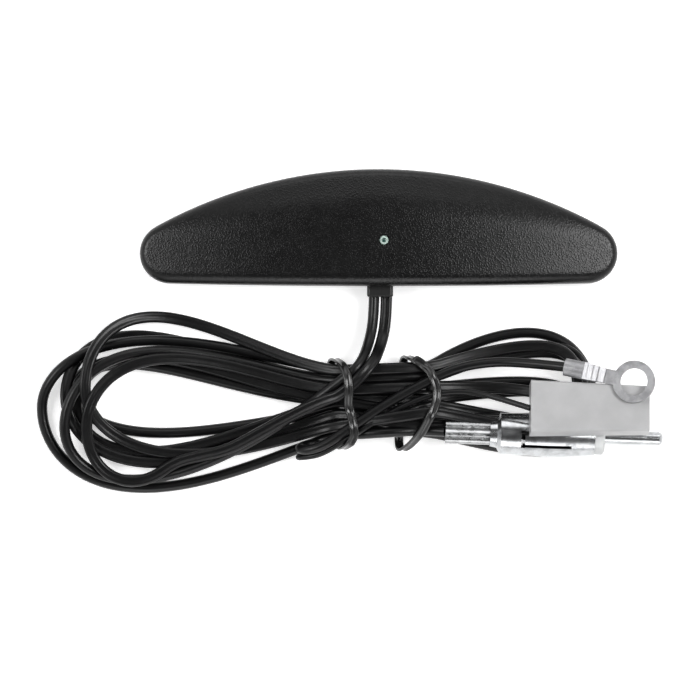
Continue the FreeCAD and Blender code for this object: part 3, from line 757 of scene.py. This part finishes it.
@dataclass
class Pile:
    """Heights of cables laid on a table one after another: each new one rests on those below it.

    Samples of what is laid are sorted into square cells, so that those near a place are found quickly.
    """

    sample: float = 1.2
    slope: float = 0.3
    cell: float = 4.0
    cells: dict[tuple[int, int], list[tuple[float, float, float, Cable]]] = field(default_factory=dict)

    def cell_of(self, x: float, y: float) -> tuple[int, int]:
        """The cell that a place is in."""
        return int(x // self.cell), int(y // self.cell)

    def near(self, x: float, y: float) -> Iterable[tuple[float, float, float, Cable]]:
        """Finds what lies near a place.

        Args:
            x: place along the hank.
            y: place across the hank.

        Returns:
            The samples in the nine cells round the place.
        """
        column, row = self.cell_of(x, y)
        for i in (-1, 0, 1):
            for j in (-1, 0, 1):
                yield from self.cells.get((column + i, row + j), ())

    def height_over(self, x: float, y: float, cable: Cable) -> float:
        """Finds how high a cable has to be at a place.

        Args:
            x: place along the hank.
            y: place across the hank.
            cable: the kind of cable.

        Returns:
            The least height of its centre that is clear of all that lies there.
        """
        needed = cable.half_h + TIE_LIFT * tie_nearness(x)
        for below_x, below_y, below_z, other in self.near(x, y):
            gap = math.hypot(below_x - x, below_y - y) / (cable.half_w + other.half_w)
            if gap < 1.0:
                power = max(cable.squareness, other.squareness)
                rise = (cable.half_h + other.half_h) * (1 - gap ** power) ** (1 / power)
                needed = max(needed, below_z + rise)
        return needed

    def settle(self, plan: Sequence[PlanPoint], cable: Cable) -> list[float]:
        """Finds how a cable rests on what is there.

        Args:
            plan: its route in plan.
            cable: the kind of cable.

        Returns:
            The height of each point of the plan.
        """
        dense, owners = densify(plan, self.sample)
        needed = [self.height_over(x, y, cable) for x, y in dense]
        eased = ease(needed, self.slope * self.sample)
        return [eased[i] for i in owners]

    def place(self, points: Sequence[Point], cable: Cable) -> None:
        """Adds a laid cable to the pile.

        Args:
            points: its route.
            cable: the kind of cable.
        """
        for (x0, y0, z0), (x1, y1, z1) in zip(points, points[1:]):
            steps = max(1, int(math.hypot(x1 - x0, y1 - y0) / self.sample))
            for i in range(steps):
                t = i / steps
                x, y, z = x0 + (x1 - x0) * t, y0 + (y1 - y0) * t, z0 + (z1 - z0) * t
                self.cells.setdefault(self.cell_of(x, y), []).append((x, y, z, cable))


def tie_nearness(x: float) -> float:
    """1 over a tie's band and 0 well away from it."""
    return max(math.exp(-((x - middle) / TIE_BAND_WIDTH) ** 2) for middle in TIE_BANDS_X)


def densify(plan: Sequence[PlanPoint], step: float) -> tuple[list[PlanPoint], list[int]]:
    """Adds points between those of a polyline.

    Args:
        plan: the polyline.
        step: greatest distance between two points.

    Returns:
        The points, and where each given point stands among them.
    """
    dense = [plan[0]]
    owners = [0]
    for (x0, y0), (x1, y1) in zip(plan, plan[1:]):
        steps = max(1, math.ceil(math.hypot(x1 - x0, y1 - y0) / step))
        for i in range(1, steps + 1):
            t = i / steps
            dense.append((x0 + (x1 - x0) * t, y0 + (y1 - y0) * t))
        owners.append(len(dense) - 1)
    return dense, owners


# How often heights are averaged when a stretch is laid, and when a cable's stretches are joined.
EASING_ROUNDS = 4
EVENING_ROUNDS = 3


def ease(needed: Sequence[float], rise: float) -> list[float]:
    """Rounds off the heights that a cable needs.

    Args:
        needed: least height at each of a row of points.
        rise: how much one point may differ from the next.

    Returns:
        Heights that change gently and dip only a little below what is needed.
    """
    eased = list(needed)
    for i in range(1, len(eased)):
        eased[i] = max(eased[i], eased[i - 1] - rise)
    for i in range(len(eased) - 2, -1, -1):
        eased[i] = max(eased[i], eased[i + 1] - rise)
    for _ in range(EASING_ROUNDS):
        inner = [(eased[i - 1] + eased[i] * 2 + eased[i + 1]) / 4 for i in range(1, len(eased) - 1)]
        eased = [eased[0], *inner, eased[-1]]
    return eased


# From the gland to the hank.
COAX_LEAD_MM: list[Point] = [
    (-1.05, -16.2, 4.9),
    (-1.15, -21.6, 5.0),
    (-2.3, -27.2, 6.5),
    (-4.4, -32.4, 7.0),
]
TWIN_LEAD_MM: list[Point] = [
    (1.85, -16.2, 4.9),
    (1.75, -21.8, 5.0),
    (0.6, -27.4, 6.5),
    (-1.6, -32.5, 7.0),
]
# From the split of the twin lead, round a hairpin and over the hank to the terminals.
GROUND_ROUTE_MM: list[Point] = [
    (-11.5, -49.8, 3.2),
    (-14.4, -50.4, 2.6),
    (-18.0, -51.2, 4.0),
    (-18.6, -51.9, 6.8),
    (-17.0, -52.2, 8.9),
    (-12.8, -51.1, 9.9),
    (-6.8, -46.9, 10.25),
    (0.6, -41.9, 10.3),
    (9.0, -37.2, 10.2),
    (17.4, -33.0, 9.9),
    (26.4, -31.3, 10.4),
    (35.4, -31.7, 12.6),
    (43.4, -32.6, 15.4),
]
SUPPLY_ROUTE_MM: list[Point] = [
    (-12.4, -52.0, 2.8),
    (-15.0, -52.9, 2.2),
    (-18.4, -53.6, 3.0),
    (-19.0, -53.9, 5.5),
    (-17.2, -53.8, 7.6),
    (-13.0, -53.0, 8.6),
    (-5.2, -48.0, 9.8),
    (4.6, -42.2, 10.0),
    (13.4, -38.6, 10.0),
    (22.0, -38.3, 10.8),
    (29.0, -40.2, 12.8),
    (35.3, -42.2, 15.3),
]
# Where the coax leaves the hank for the plug, and where the twin lead ends below the left tie.
COAX_TAIL_MM: list[Point] = [(10.5, -47.4, 7.6), (15.6, -47.7, 9.4)]
TWIN_END_MM: list[Point] = [(-12.0, -50.9, 3.4)]
TWIN_END_TIE_Y = -48.9

# Turns of the hank, in the order in which a cable runs through them. The coax ends with a left lobe alone.
COAX_TURNS = [
    Turn(Lobe(-73.7, -46.8, (22.1, 0.92), (20.2, 0.50)),
         Lobe(48.0, -38.8, (10.5, 0.5), (4.0, 0.6), blunt=1.5), (-35.8, -35.9), (-34.6, -45.5)),
    Turn(Lobe(-71.2, -39.0, (13.0, 1.5), (11.8, 0.9)),
         Lobe(50.6, -44.0, (18.6, 0.45), (9.6, 0.6), blunt=1.25), (-40.8, -43.4), (-32.0, -48.2)),
    Turn(Lobe(-73.0, -41.0, (16.5, 1.3), (15.5, 0.8)),
         Lobe(46.4, -42.5, (5.6, 0.5), (6.4, 0.6), blunt=1.5), (-38.7, -46.0), (-37.5, -42.8)),
]
COAX_OUTER = Lobe(-79.2, -42.3, (18.7, 0.77), (23.7, 0.71))
COAX_OUTER_TIE = (-33.3, -48.6)
TWIN_TURNS = [
    Turn(Lobe(-68.5, -46.8, (20.5, 0.91), (22.9, 1.06), low_dent=(0.62, 3.4, 0.1)),
         Lobe(43.6, -43.5, (3.4, 0.5), (5.4, 0.6), blunt=1.5), (-38.0, -39.3), (-37.2, -43.0)),
    Turn(Lobe(-68.8, -37.5, (24.7, 1.07), (17.4, 0.66)),
         Lobe(46.6, -37.9, (10.8, 0.5), (3.6, 0.6), blunt=1.5), (-33.4, -46.2), (-32.6, -47.0)),
    Turn(Lobe(-73.5, -39.2, (21.3, 1.19), (20.6, 0.72)),
         Lobe(48.6, -38.8, (12.4, 0.5), (4.6, 0.6), blunt=1.5), (-35.6, -43.6), (-35.0, -44.6)),
    Turn(Lobe(-71.0, -41.6, (17.5, 1.1), (16.8, 0.85)),
         Lobe(45.4, -43.0, (4.8, 0.5), (4.6, 0.6), blunt=1.5), (-40.3, -40.6), (-40.2, -41.4)),
]


@dataclass
class Stretch:
    """Part of a cable that is laid in one go: its route in plan, and its points once it is laid."""

    cable: Cable
    plan: list[PlanPoint]
    points: list[Point] = field(default_factory=list)


@dataclass
class CableWork:
    """The leads: the coax and the twin lead, laid in a hank, and the two wires that cross over it.

    The two wires follow their routes as they stand. The others rest on what lies below them.
    """

    paint: Paintbox
    pile: Pile = field(default_factory=Pile)
    twin_wrap: float = 125.0

    @staticmethod
    def stretches(lead: list[Point], turns: list[Turn], cable: Cable) -> list[Stretch]:
        """Splits a cable's turns into stretches, in the order in which the cable runs through them.

        Args:
            lead: points from the gland, of which the last is where the hank begins.
            turns: the turns, from the first.
            cable: the kind of cable.

        Returns:
            The way in, the rest of the first turn, then one stretch for each other turn.
        """
        rounds = [turn.round() for turn in turns]
        for here, following in zip(rounds, rounds[1:]):
            here += waist(here[-1], following[0])
        first = rounds[0]
        entry = [lead[-1][:2]] + first[:ENTRY_POINTS]
        return [Stretch(cable, plan) for plan in (entry, first[ENTRY_POINTS:], *rounds[1:])]

    def lay(self, stretch: Stretch) -> None:
        """Lays one stretch on the pile.

        Args:
            stretch: the stretch, which is given its points.
        """
        heights = self.pile.settle(stretch.plan, stretch.cable)
        stretch.points = [(x, y, z) for (x, y), z in zip(stretch.plan, heights)]
        self.pile.place(stretch.points, stretch.cable)

    def build(self) -> list[bpy.types.Object]:
        """Lays the hank from the table up, then makes every cable.

        Returns:
            The four cables.
        """
        coax = self.stretches(COAX_LEAD_MM, COAX_TURNS, COAX)
        twin = self.stretches(TWIN_LEAD_MM, TWIN_TURNS, TWIN)
        outer_up = COAX_OUTER.side(LEFT_TIE_X, COAX_OUTER_TIE[0], True, LEFT_STEPS)
        outer_low = COAX_OUTER.side(LEFT_TIE_X, COAX_OUTER_TIE[1], False, LEFT_STEPS)
        crossing = Stretch(COAX, waist(coax[-1].plan[-1], outer_up[0]))
        outer = Stretch(COAX, outer_up + outer_low[-2::-1])
        tail = Stretch(COAX, waist(outer_low[0], COAX_TAIL_MM[0][:2]))
        end = Stretch(TWIN, waist(twin[-1].plan[-1], (LEFT_TIE_X, TWIN_END_TIE_Y)))
        for stretch in (crossing, coax[3], coax[2], twin[4], twin[3], outer, coax[1], twin[2], end, twin[1],
                        tail, coax[0], twin[0]):
            self.lay(stretch)
        self.pile.place(GROUND_ROUTE_MM, GROUND)
        self.pile.place(SUPPLY_ROUTE_MM, SUPPLY)
        return [
            self.make_coax(self.joined(COAX_LEAD_MM, [*coax, crossing, outer, tail], COAX_TAIL_MM)),
            self.make_twin(self.joined(TWIN_LEAD_MM, [*twin, end], TWIN_END_MM)),
            self.make_wire("ground_lead", GROUND_ROUTE_MM, GROUND, "ground_wire"),
            self.make_wire("supply_lead", SUPPLY_ROUTE_MM, SUPPLY, "supply_wire"),
        ]

    @staticmethod
    def joined(lead: list[Point], stretches: list[Stretch], end: list[Point]) -> list[Point]:
        """Joins a cable's stretches and evens out the steps between their heights.

        Args:
            lead: points from the gland.
            stretches: the laid stretches, in the order in which the cable runs.
            end: the cable's last points.

        Returns:
            The whole route.
        """
        points = lead[:-1] + [point for stretch in stretches for point in stretch.points] + end
        first, last = len(lead) - 1, len(points) - len(end)
        for _ in range(EVENING_ROUNDS):
            evened = []
            for i, (x, y, z) in enumerate(points):
                if first < i < last:
                    z = (points[i - 1][2] + 2 * z + points[i + 1][2]) / 4
                evened.append((x, y, z))
            points = evened
        return points

    def make_coax(self, route: list[Point]) -> bpy.types.Object:
        """Makes the round coax from the gland through the hank to the plug.

        Args:
            route: its points.

        Returns:
            The coax.
        """
        points = to_metres(route)
        piece = spline_object("coax_cable", points, COAX.half_h * MM)
        hand_over(piece, self.paint, Finish.CABLE, "coax_lead", "coax_tail", "cable_hank")
        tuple(points[0])
        length_of(followed(points))
        2 * COAX.half_h * MM
        return piece

    def make_twin(self, route: list[Point]) -> bpy.types.Object:
        """Makes the figure-eight twin lead, as a mesh that follows the smooth spline of its route.

        Args:
            route: its points.

        Returns:
            The twin lead.
        """
        path = followed(to_metres(route))
        bead = TWIN.half_h * MM
        piece = sweep("twin_cable", path, paired_section(bead, bead, self.twin_wrap))
        hand_over(piece, self.paint, Finish.CABLE, "twin_lead")
        tuple(path[0])
        length_of(path)
        2 * TWIN.half_w * MM
        [tuple(point) for point in path]
        return piece

    def make_wire(self, name: str, route: list[Point], cable: Cable, node: str) -> bpy.types.Object:
        """Makes a single wire from the split of the twin lead to its terminal.

        Args:
            name: name of the piece.
            route: its points.
            cable: the kind of cable.
            node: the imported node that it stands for.

        Returns:
            The wire.
        """
        points = to_metres(route)
        piece = spline_object(name, points, cable.half_h * MM)
        hand_over(piece, self.paint, Finish.CABLE, node)
        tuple(points[0])
        length_of(followed(points))
        2 * cable.half_h * MM
        return piece


# ------------------------------------------------------------------ ties, in millimetres

@dataclass
class TwistTie:
    """Flat tie of two beads and a web, drawn over the hank in a loose S and closed under it.

    A flank swings out from an end of the top, then turns in and lies flat on the table under the hank.
    """

    name: str
    node: str
    top: list[PlanPoint]
    width: float = 2.1
    bead: float = 0.36
    wrap: float = 152.0
    squareness: float = 4.0
    step: float = 1.0
    slack: float = 0.15
    rise: float = 1.1
    table_gap: float = 0.04
    hook: float = 1.8
    flank_hook: float = 0.7
    flank_out: float = 0.6
    flank_height: float = 0.5
    turn_in: float = 0.8
    flat_in: float = 4.0

    def flank(self, x: float, y: float, z: float, outward: int) -> list[Point]:
        """Follows the tie from an end of its top down and in under the hank.

        Args:
            x: where the top ends along the hank.
            y: where it ends across the hank.
            z: how high it ends.
            outward: 1 on the side towards the case, -1 on the other.

        Returns:
            Three points, from the top down.
        """
        low = self.bead + self.table_gap
        return [(x - self.flank_hook * self.hook, y + outward * self.flank_out, z * self.flank_height),
                (x - self.hook, y - outward * self.turn_in, low),
                (x - self.hook, y - outward * self.flat_in, low)]

    def route(self, pile: Pile) -> list[Point]:
        """Follows the whole loop.

        Args:
            pile: the finished hank.

        Returns:
            Points from the middle of the underside round over the hank and back.
        """
        ribbon = Cable(self.width / 2, self.bead, self.squareness)
        dense, _ = densify(self.top, self.step)
        heights = ease([pile.height_over(x, y, ribbon) + self.slack for x, y in dense], self.rise)
        over = [(x, y, z) for (x, y), z in zip(dense, heights)][::2]
        (x0, y0), (x1, y1) = self.top[0], self.top[-1]
        middle = ((x0 + x1) / 2 - self.hook, (y0 + y1) / 2, self.bead + self.table_gap)
        rising = self.flank(x0, y0, over[0][2], 1)[::-1]
        falling = self.flank(x1, y1, over[-1][2], -1)
        return [middle, *rising, *over, *falling, middle]

    def build(self, paint: Paintbox, pile: Pile) -> bpy.types.Object:
        """Models the tie and lets it stand for its solid.

        Args:
            paint: the paint box.
            pile: the finished hank.

        Returns:
            The tie.
        """
        path = followed(to_metres(self.route(pile)))
        section = paired_section((self.width / 2 - self.bead) * MM, self.bead * MM, self.wrap)
        piece = sweep(self.name, path, section, along_x=True)
        hand_over(piece, paint, Finish.TIE, self.node)
        return piece


TIES = (
    TwistTie("left_tie", "twist_tie_left",
             [(-9.4, -31.2), (-8.3, -32.2), (-7.2, -35.0), (-6.9, -38.0), (-7.1, -41.4), (-6.1, -45.1),
              (-5.6, -48.2), (-6.4, -50.5), (-7.6, -51.4)]),
    TwistTie("right_tie", "twist_tie_right",
             [(7.6, -30.6), (9.4, -31.2), (12.0, -33.6), (13.4, -36.6), (13.8, -39.4), (13.1, -42.0),
              (11.8, -44.8), (10.3, -47.6), (8.3, -50.0), (6.6, -51.8)]),
)


# ------------------------------------------------------------------ case, in millimetres

# A point of the case's edge in plan, its inward normal, and the point of the spine that it runs to.
EdgePoint = tuple[PlanPoint, PlanPoint, PlanPoint]


@dataclass
class CaseCover:
    """Pebbled shell of the case: crowned along its length, with a rounded ridge towards its curved edge."""

    bow_radius: float = 108.2
    end_radius: float = 7.06
    end_y: float = -6.0
    straight_bulge: float = 0.64
    crown_radius: float = 312.0
    bow_fillet: float = 1.6
    straight_fillet: float = 2.7
    fillet_power: int = 3
    ridge_y: float = 5.4
    ridge_slope: float = 0.32
    ridge_softness: float = 3.0
    ridge_bluntness: float = 4.0
    wall: float = 1.6
    hole_radius: float = 1.25
    hole_depth: float = 8.0
    hole_sides: int = 40
    crisp_degrees: float = 40.0
    along: int = 110
    bow_end: int = 3
    round_end: int = 22
    fillet_rows: int = 9
    top_rows: int = 12

    def __post_init__(self) -> None:
        """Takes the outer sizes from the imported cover, in millimetres."""
        low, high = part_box("top_cover")
        self.half_x = high[0] / MM
        self.half_y = high[1] / MM
        self.rim_z = low[2] / MM
        self.top_z = high[2] / MM
        self.end_x = self.half_x - self.end_radius
        self.bow_y = self.half_y - self.bow_radius

    def outline(self) -> list[EdgePoint]:
        """Follows the case's edge in plan.

        Returns:
            A closed ring of edge points, from the left end of the curved edge.
        """
        xs = [self.end_x * (2 * k / self.along - 1) for k in range(self.along + 1)]
        bow = [self.on_bow(math.asin(x / self.bow_radius), self.spine(x)) for x in xs]
        straight = [((x, self.straight_y(x)), (0.0, 1.0), self.spine(x)) for x in reversed(xs)]
        return [*bow, *self.end_arc(1), *straight, *self.end_arc(-1)[::-1]]

    def on_bow(self, angle: float, spine: PlanPoint) -> EdgePoint:
        """Finds a point of the curved edge.

        Args:
            angle: its direction from the curve's centre, from +Y.
            spine: the point of the spine that it runs to.

        Returns:
            The edge point.
        """
        out = (math.sin(angle), math.cos(angle))
        point = (self.bow_radius * out[0], self.bow_y + self.bow_radius * out[1])
        return point, (-out[0], -out[1]), spine

    def end_arc(self, side: int) -> list[EdgePoint]:
        """Follows the curved edge's last stretch and the round end on one side.

        Args:
            side: 1 for the right end, -1 for the left.

        Returns:
            Edge points from the curved edge to the straight one.
        """
        spine = self.spine(side * self.end_x)
        lean = math.atan2(self.end_x, self.end_y - self.bow_y)
        start = math.asin(self.end_x / self.bow_radius)
        rows = [self.on_bow(side * (start + (lean - start) * k / self.bow_end), spine)
                for k in range(1, self.bow_end)]
        for k in range(self.round_end):
            angle = lean + (math.pi - lean) * k / self.round_end
            out = (side * math.sin(angle), math.cos(angle))
            point = (side * self.end_x + self.end_radius * out[0], self.end_y + self.end_radius * out[1])
            rows.append((point, (-out[0], -out[1]), spine))
        return rows

    def straight_y(self, x: float) -> float:
        """How far across the nearly straight edge lies at a place along it."""
        return self.end_y - self.end_radius - self.straight_bulge * (1 - (x / self.end_x) ** 2)

    def spine(self, x: float) -> PlanPoint:
        """The spine point in the middle of the case at a place along it."""
        bow = self.bow_y + math.sqrt(self.bow_radius ** 2 - x ** 2)
        return x, (bow + self.straight_y(x)) / 2

    def fillet(self, inward: PlanPoint) -> float:
        """Radius of the rounded edge: larger along the straight edge than round the rest."""
        facing = max(inward[1], 0.0) ** self.fillet_power
        return self.bow_fillet + (self.straight_fillet - self.bow_fillet) * facing

    def height(self, x: float, y: float, inset: float, fillet: float) -> float:
        """Finds the height of the top at a place.

        Args:
            x: place along the case.
            y: place across it.
            inset: how far the place is inside the edge.
            fillet: radius of the rounded edge there.

        Returns:
            The crown's height, less the slope beyond the ridge and the fall of the rounded edge.
        """
        crown = self.top_z - self.crown_radius + math.sqrt(self.crown_radius ** 2 - x ** 2)
        beyond = y - self.ridge_y * (1.0 - math.hypot(x, self.ridge_bluntness) / self.end_x)
        soft = self.ridge_softness
        past = max(beyond, 0.0)
        if abs(beyond) <= soft:
            past = (beyond + soft) ** 2 / (4 * soft)
        left = max(fillet - inset, 0.0)
        return crown - self.ridge_slope * past - fillet + math.sqrt(fillet ** 2 - left ** 2)

    def rows(self) -> list[list[Point]]:
        """Lays rings of points round the case.

        Returns:
            Rings from the rim up over the rounded edge and in to the spine.
        """
        outline = self.outline()
        fillets = [self.fillet(inward) for _, inward, _ in outline]
        rings = [[(x, y, self.rim_z) for (x, y), _, _ in outline]]
        for k in range(self.fillet_rows + 1):
            ring = []
            for ((edge_x, edge_y), (in_x, in_y), _), fillet in zip(outline, fillets):
                inset = fillet * (1 - math.cos(math.pi / 2 * k / self.fillet_rows))
                x, y = edge_x + in_x * inset, edge_y + in_y * inset
                ring.append((x, y, self.height(x, y, inset, fillet)))
            rings.append(ring)
        start = rings[-1]
        for k in range(1, self.top_rows + 1):
            t = k / self.top_rows
            ring = []
            for (start_x, start_y, _), (_, _, (spine_x, spine_y)), fillet in zip(start, outline, fillets):
                x, y = start_x + (spine_x - start_x) * t, start_y + (spine_y - start_y) * t
                ring.append((x, y, self.height(x, y, fillet, fillet)))
            rings.append(ring)
        return rings

    def build(self, paint: Paintbox) -> bpy.types.Object:
        """Models the shell: a grid wrapped round the case, given a wall, with the lamp's hole cut in it.

        Args:
            paint: the paint box.

        Returns:
            The cover.
        """
        piece = self.wrapped_grid()
        if outward_share(piece) < 0.5:
            flip(piece)
        solid = piece.modifiers.new("wall", "SOLIDIFY")
        solid.thickness = self.wall * MM
        solid.offset = -1.0
        bpy.ops.object.modifier_apply(modifier="wall")
        self.cut_lamp_hole(piece)
        smooth_by_angle(piece, self.crisp_degrees)
        hand_over(piece, paint, Finish.COVER, "top_cover")
        return piece

    def wrapped_grid(self) -> bpy.types.Object:
        """Wraps a grid round the case and closes its seam and its spine.

        Returns:
            The skin of the case, open below.
        """
        rings = self.rows()
        around, up = len(rings[0]), len(rings)
        bpy.ops.object.select_all(action="DESELECT")
        bpy.ops.mesh.primitive_grid_add(x_subdivisions=around, y_subdivisions=up - 1, size=1.0)
        piece = bpy.context.object
        piece.name = "pebbled_cover"
        for index, vertex in enumerate(piece.data.vertices):
            row, column = divmod(index, around + 1)
            vertex.co = Vector(rings[row][column % around]) * MM
        bpy.ops.object.mode_set(mode="EDIT")
        bpy.ops.mesh.select_all(action="SELECT")
        bpy.ops.mesh.remove_doubles(threshold=SEAM)
        bpy.ops.mesh.normals_make_consistent(inside=False)
        bpy.ops.object.mode_set(mode="OBJECT")
        return piece

    def cut_lamp_hole(self, piece: bpy.types.Object) -> None:
        """Cuts the round hole in which the lamp stands, concentric with it.

        Args:
            piece: the shell.
        """
        low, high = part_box("led")
        place = ((low[0] + high[0]) / 2, (low[1] + high[1]) / 2, high[2])
        bpy.ops.object.select_all(action="DESELECT")
        bpy.ops.mesh.primitive_cylinder_add(vertices=self.hole_sides, radius=self.hole_radius * MM,
                                            depth=self.hole_depth * MM, location=place)
        cutter = bpy.context.object
        only(piece)
        cut = piece.modifiers.new("lamp_hole", "BOOLEAN")
        cut.operation = "DIFFERENCE"
        cut.solver = "EXACT"
        cut.object = cutter
        bpy.ops.object.modifier_apply(modifier="lamp_hole")
        bpy.data.objects.remove(cutter)


# ------------------------------------------------------------------ stage

@dataclass(frozen=True)
class Softbox:
    """Square area lamp, aimed at the object."""

    name: str
    place: Point
    size: float
    power: float
    aim_at: Point = (0.0, -0.02, 0.0)

    def build(self) -> None:
        """Makes the lamp."""
        data = bpy.data.lights.new(self.name, "AREA")
        data.size = self.size
        data.energy = self.power
        lamp = bpy.data.objects.new(self.name, data)
        lamp.location = self.place
        aim = Vector(self.aim_at) - Vector(self.place)
        lamp.rotation_euler = aim.to_track_quat("-Z", "Y").to_euler()
        bpy.context.scene.collection.objects.link(lamp)


@dataclass
class Studio:
    """Pale table, soft lamps and the camera.

    The lamps stand low enough that level faces don't mirror them. The table and the surroundings are white
    to the camera and in gloss, and dim as lights. The patch is the dark part of the surroundings overhead.
    """

    view_centre: PlanPoint = (-6.7 * MM, -28.65 * MM)
    view_width: float = 164.7 * MM
    distance: float = 1.6
    sensor: float = 36.0
    clip_end: float = 20.0
    table_size: float = 6.0
    table_shades: tuple[float, float] = (0.88, 0.9)
    table_clouds_per_m: float = 3.0
    table_rough: float = 0.9
    table_glow: float = 0.55
    full_glow_at: tuple[float, float] = (0.25, 1.1)
    dome: float = 0.1
    patch: float = 0.04
    patch_edge: tuple[float, float] = (0.42, 0.95)
    lamps: tuple[Softbox, ...] = (
        Softbox("left_softbox", (-0.8, 0.1, 1.03), 0.5, 7.5),
        Softbox("right_softbox", (0.68, 0.1, 1.09), 0.5, 11.0),
        Softbox("back_softbox", (0.0, 1.1, 0.8), 0.8, 3.6),
        Softbox("front_softbox", (0.0, -1.1, 0.65), 0.7, 4.0),
    )

    def build(self) -> None:
        """Makes the camera, the stage and the lamps."""
        self.make_camera()
        self.make_table()
        self.make_surroundings()
        for lamp in self.lamps:
            lamp.build()

    def make_camera(self) -> None:
        """Makes the camera, which looks straight down."""
        data = bpy.data.cameras.new("camera")
        data.sensor_width = self.sensor
        data.lens = self.sensor * self.distance / self.view_width
        data.clip_end = self.clip_end
        camera = bpy.data.objects.new("camera", data)
        camera.location = (*self.view_centre, self.distance)
        bpy.context.scene.collection.objects.link(camera)
        bpy.context.scene.camera = camera

    def make_table(self) -> None:
        """Makes a wide pale table top, whose glow grows away from the object."""
        bpy.ops.mesh.primitive_plane_add(size=self.table_size, location=(0, 0, 0))
        table = bpy.context.object
        table.name = "table_top"
        bench = Bench("table_white")
        darker, lighter = ((shade, shade, shade) for shade in self.table_shades)
        base = bench.mix(bench.noise(self.table_clouds_per_m, detail=2.0), darker, lighter)
        away = bench.add("ShaderNodeVectorMath", {"operation": "LENGTH"}, {0: bench.coords()}, "Value")
        level = away.step(*self.full_glow_at) * (1.0 - self.table_glow) + self.table_glow
        glow = bench.mix(bench.backdrop_ray() * level, (0, 0, 0), (1, 1, 1))
        bench.finish(Base_Color=base, Roughness=self.table_rough, Emission_Color=glow, Emission_Strength=1.0)
        table.data.materials.append(bench.material)

    def make_surroundings(self) -> None:
        """Makes white surroundings with a dark patch overhead."""
        bench = Bench("studio", world=True)
        direction = bench.add("ShaderNodeTexCoord", {}, {}, "Generated")
        up = bench.add("ShaderNodeSeparateXYZ", {}, {0: direction}, 2)
        open_sky = 1.0 - up.step(*self.patch_edge) * (1.0 - self.patch)
        seen = bench.backdrop_ray()
        inputs = {"Color": (1, 1, 1, 1), "Strength": seen * open_sky + (1.0 - seen) * self.dome}
        sky = bench.add("ShaderNodeBackground", {}, inputs, "Background")
        bench.tree.links.new(sky.value, bench.output.inputs["Surface"])
        bpy.context.scene.world = bench.material


def main() -> None:
    """Builds every sub-assembly in order and reports each piece."""
    bpy.context.scene.view_settings.view_transform = "Standard"
    paint = Paintbox()
    Studio().build()
    pieces = [CaseCover().build(paint)]
    cables = CableWork(paint)
    pieces += cables.build()
    pieces += [tie.build(paint, cables.pile) for tie in TIES]
    for piece in pieces:
        LOG.info("built %s", piece.name)
    for name, finish in NODE_FINISH.items():
        paint.dress_slots(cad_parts[name], finish)
        LOG.info("dressed %s", name)


if __name__ == "__main__":
    main()
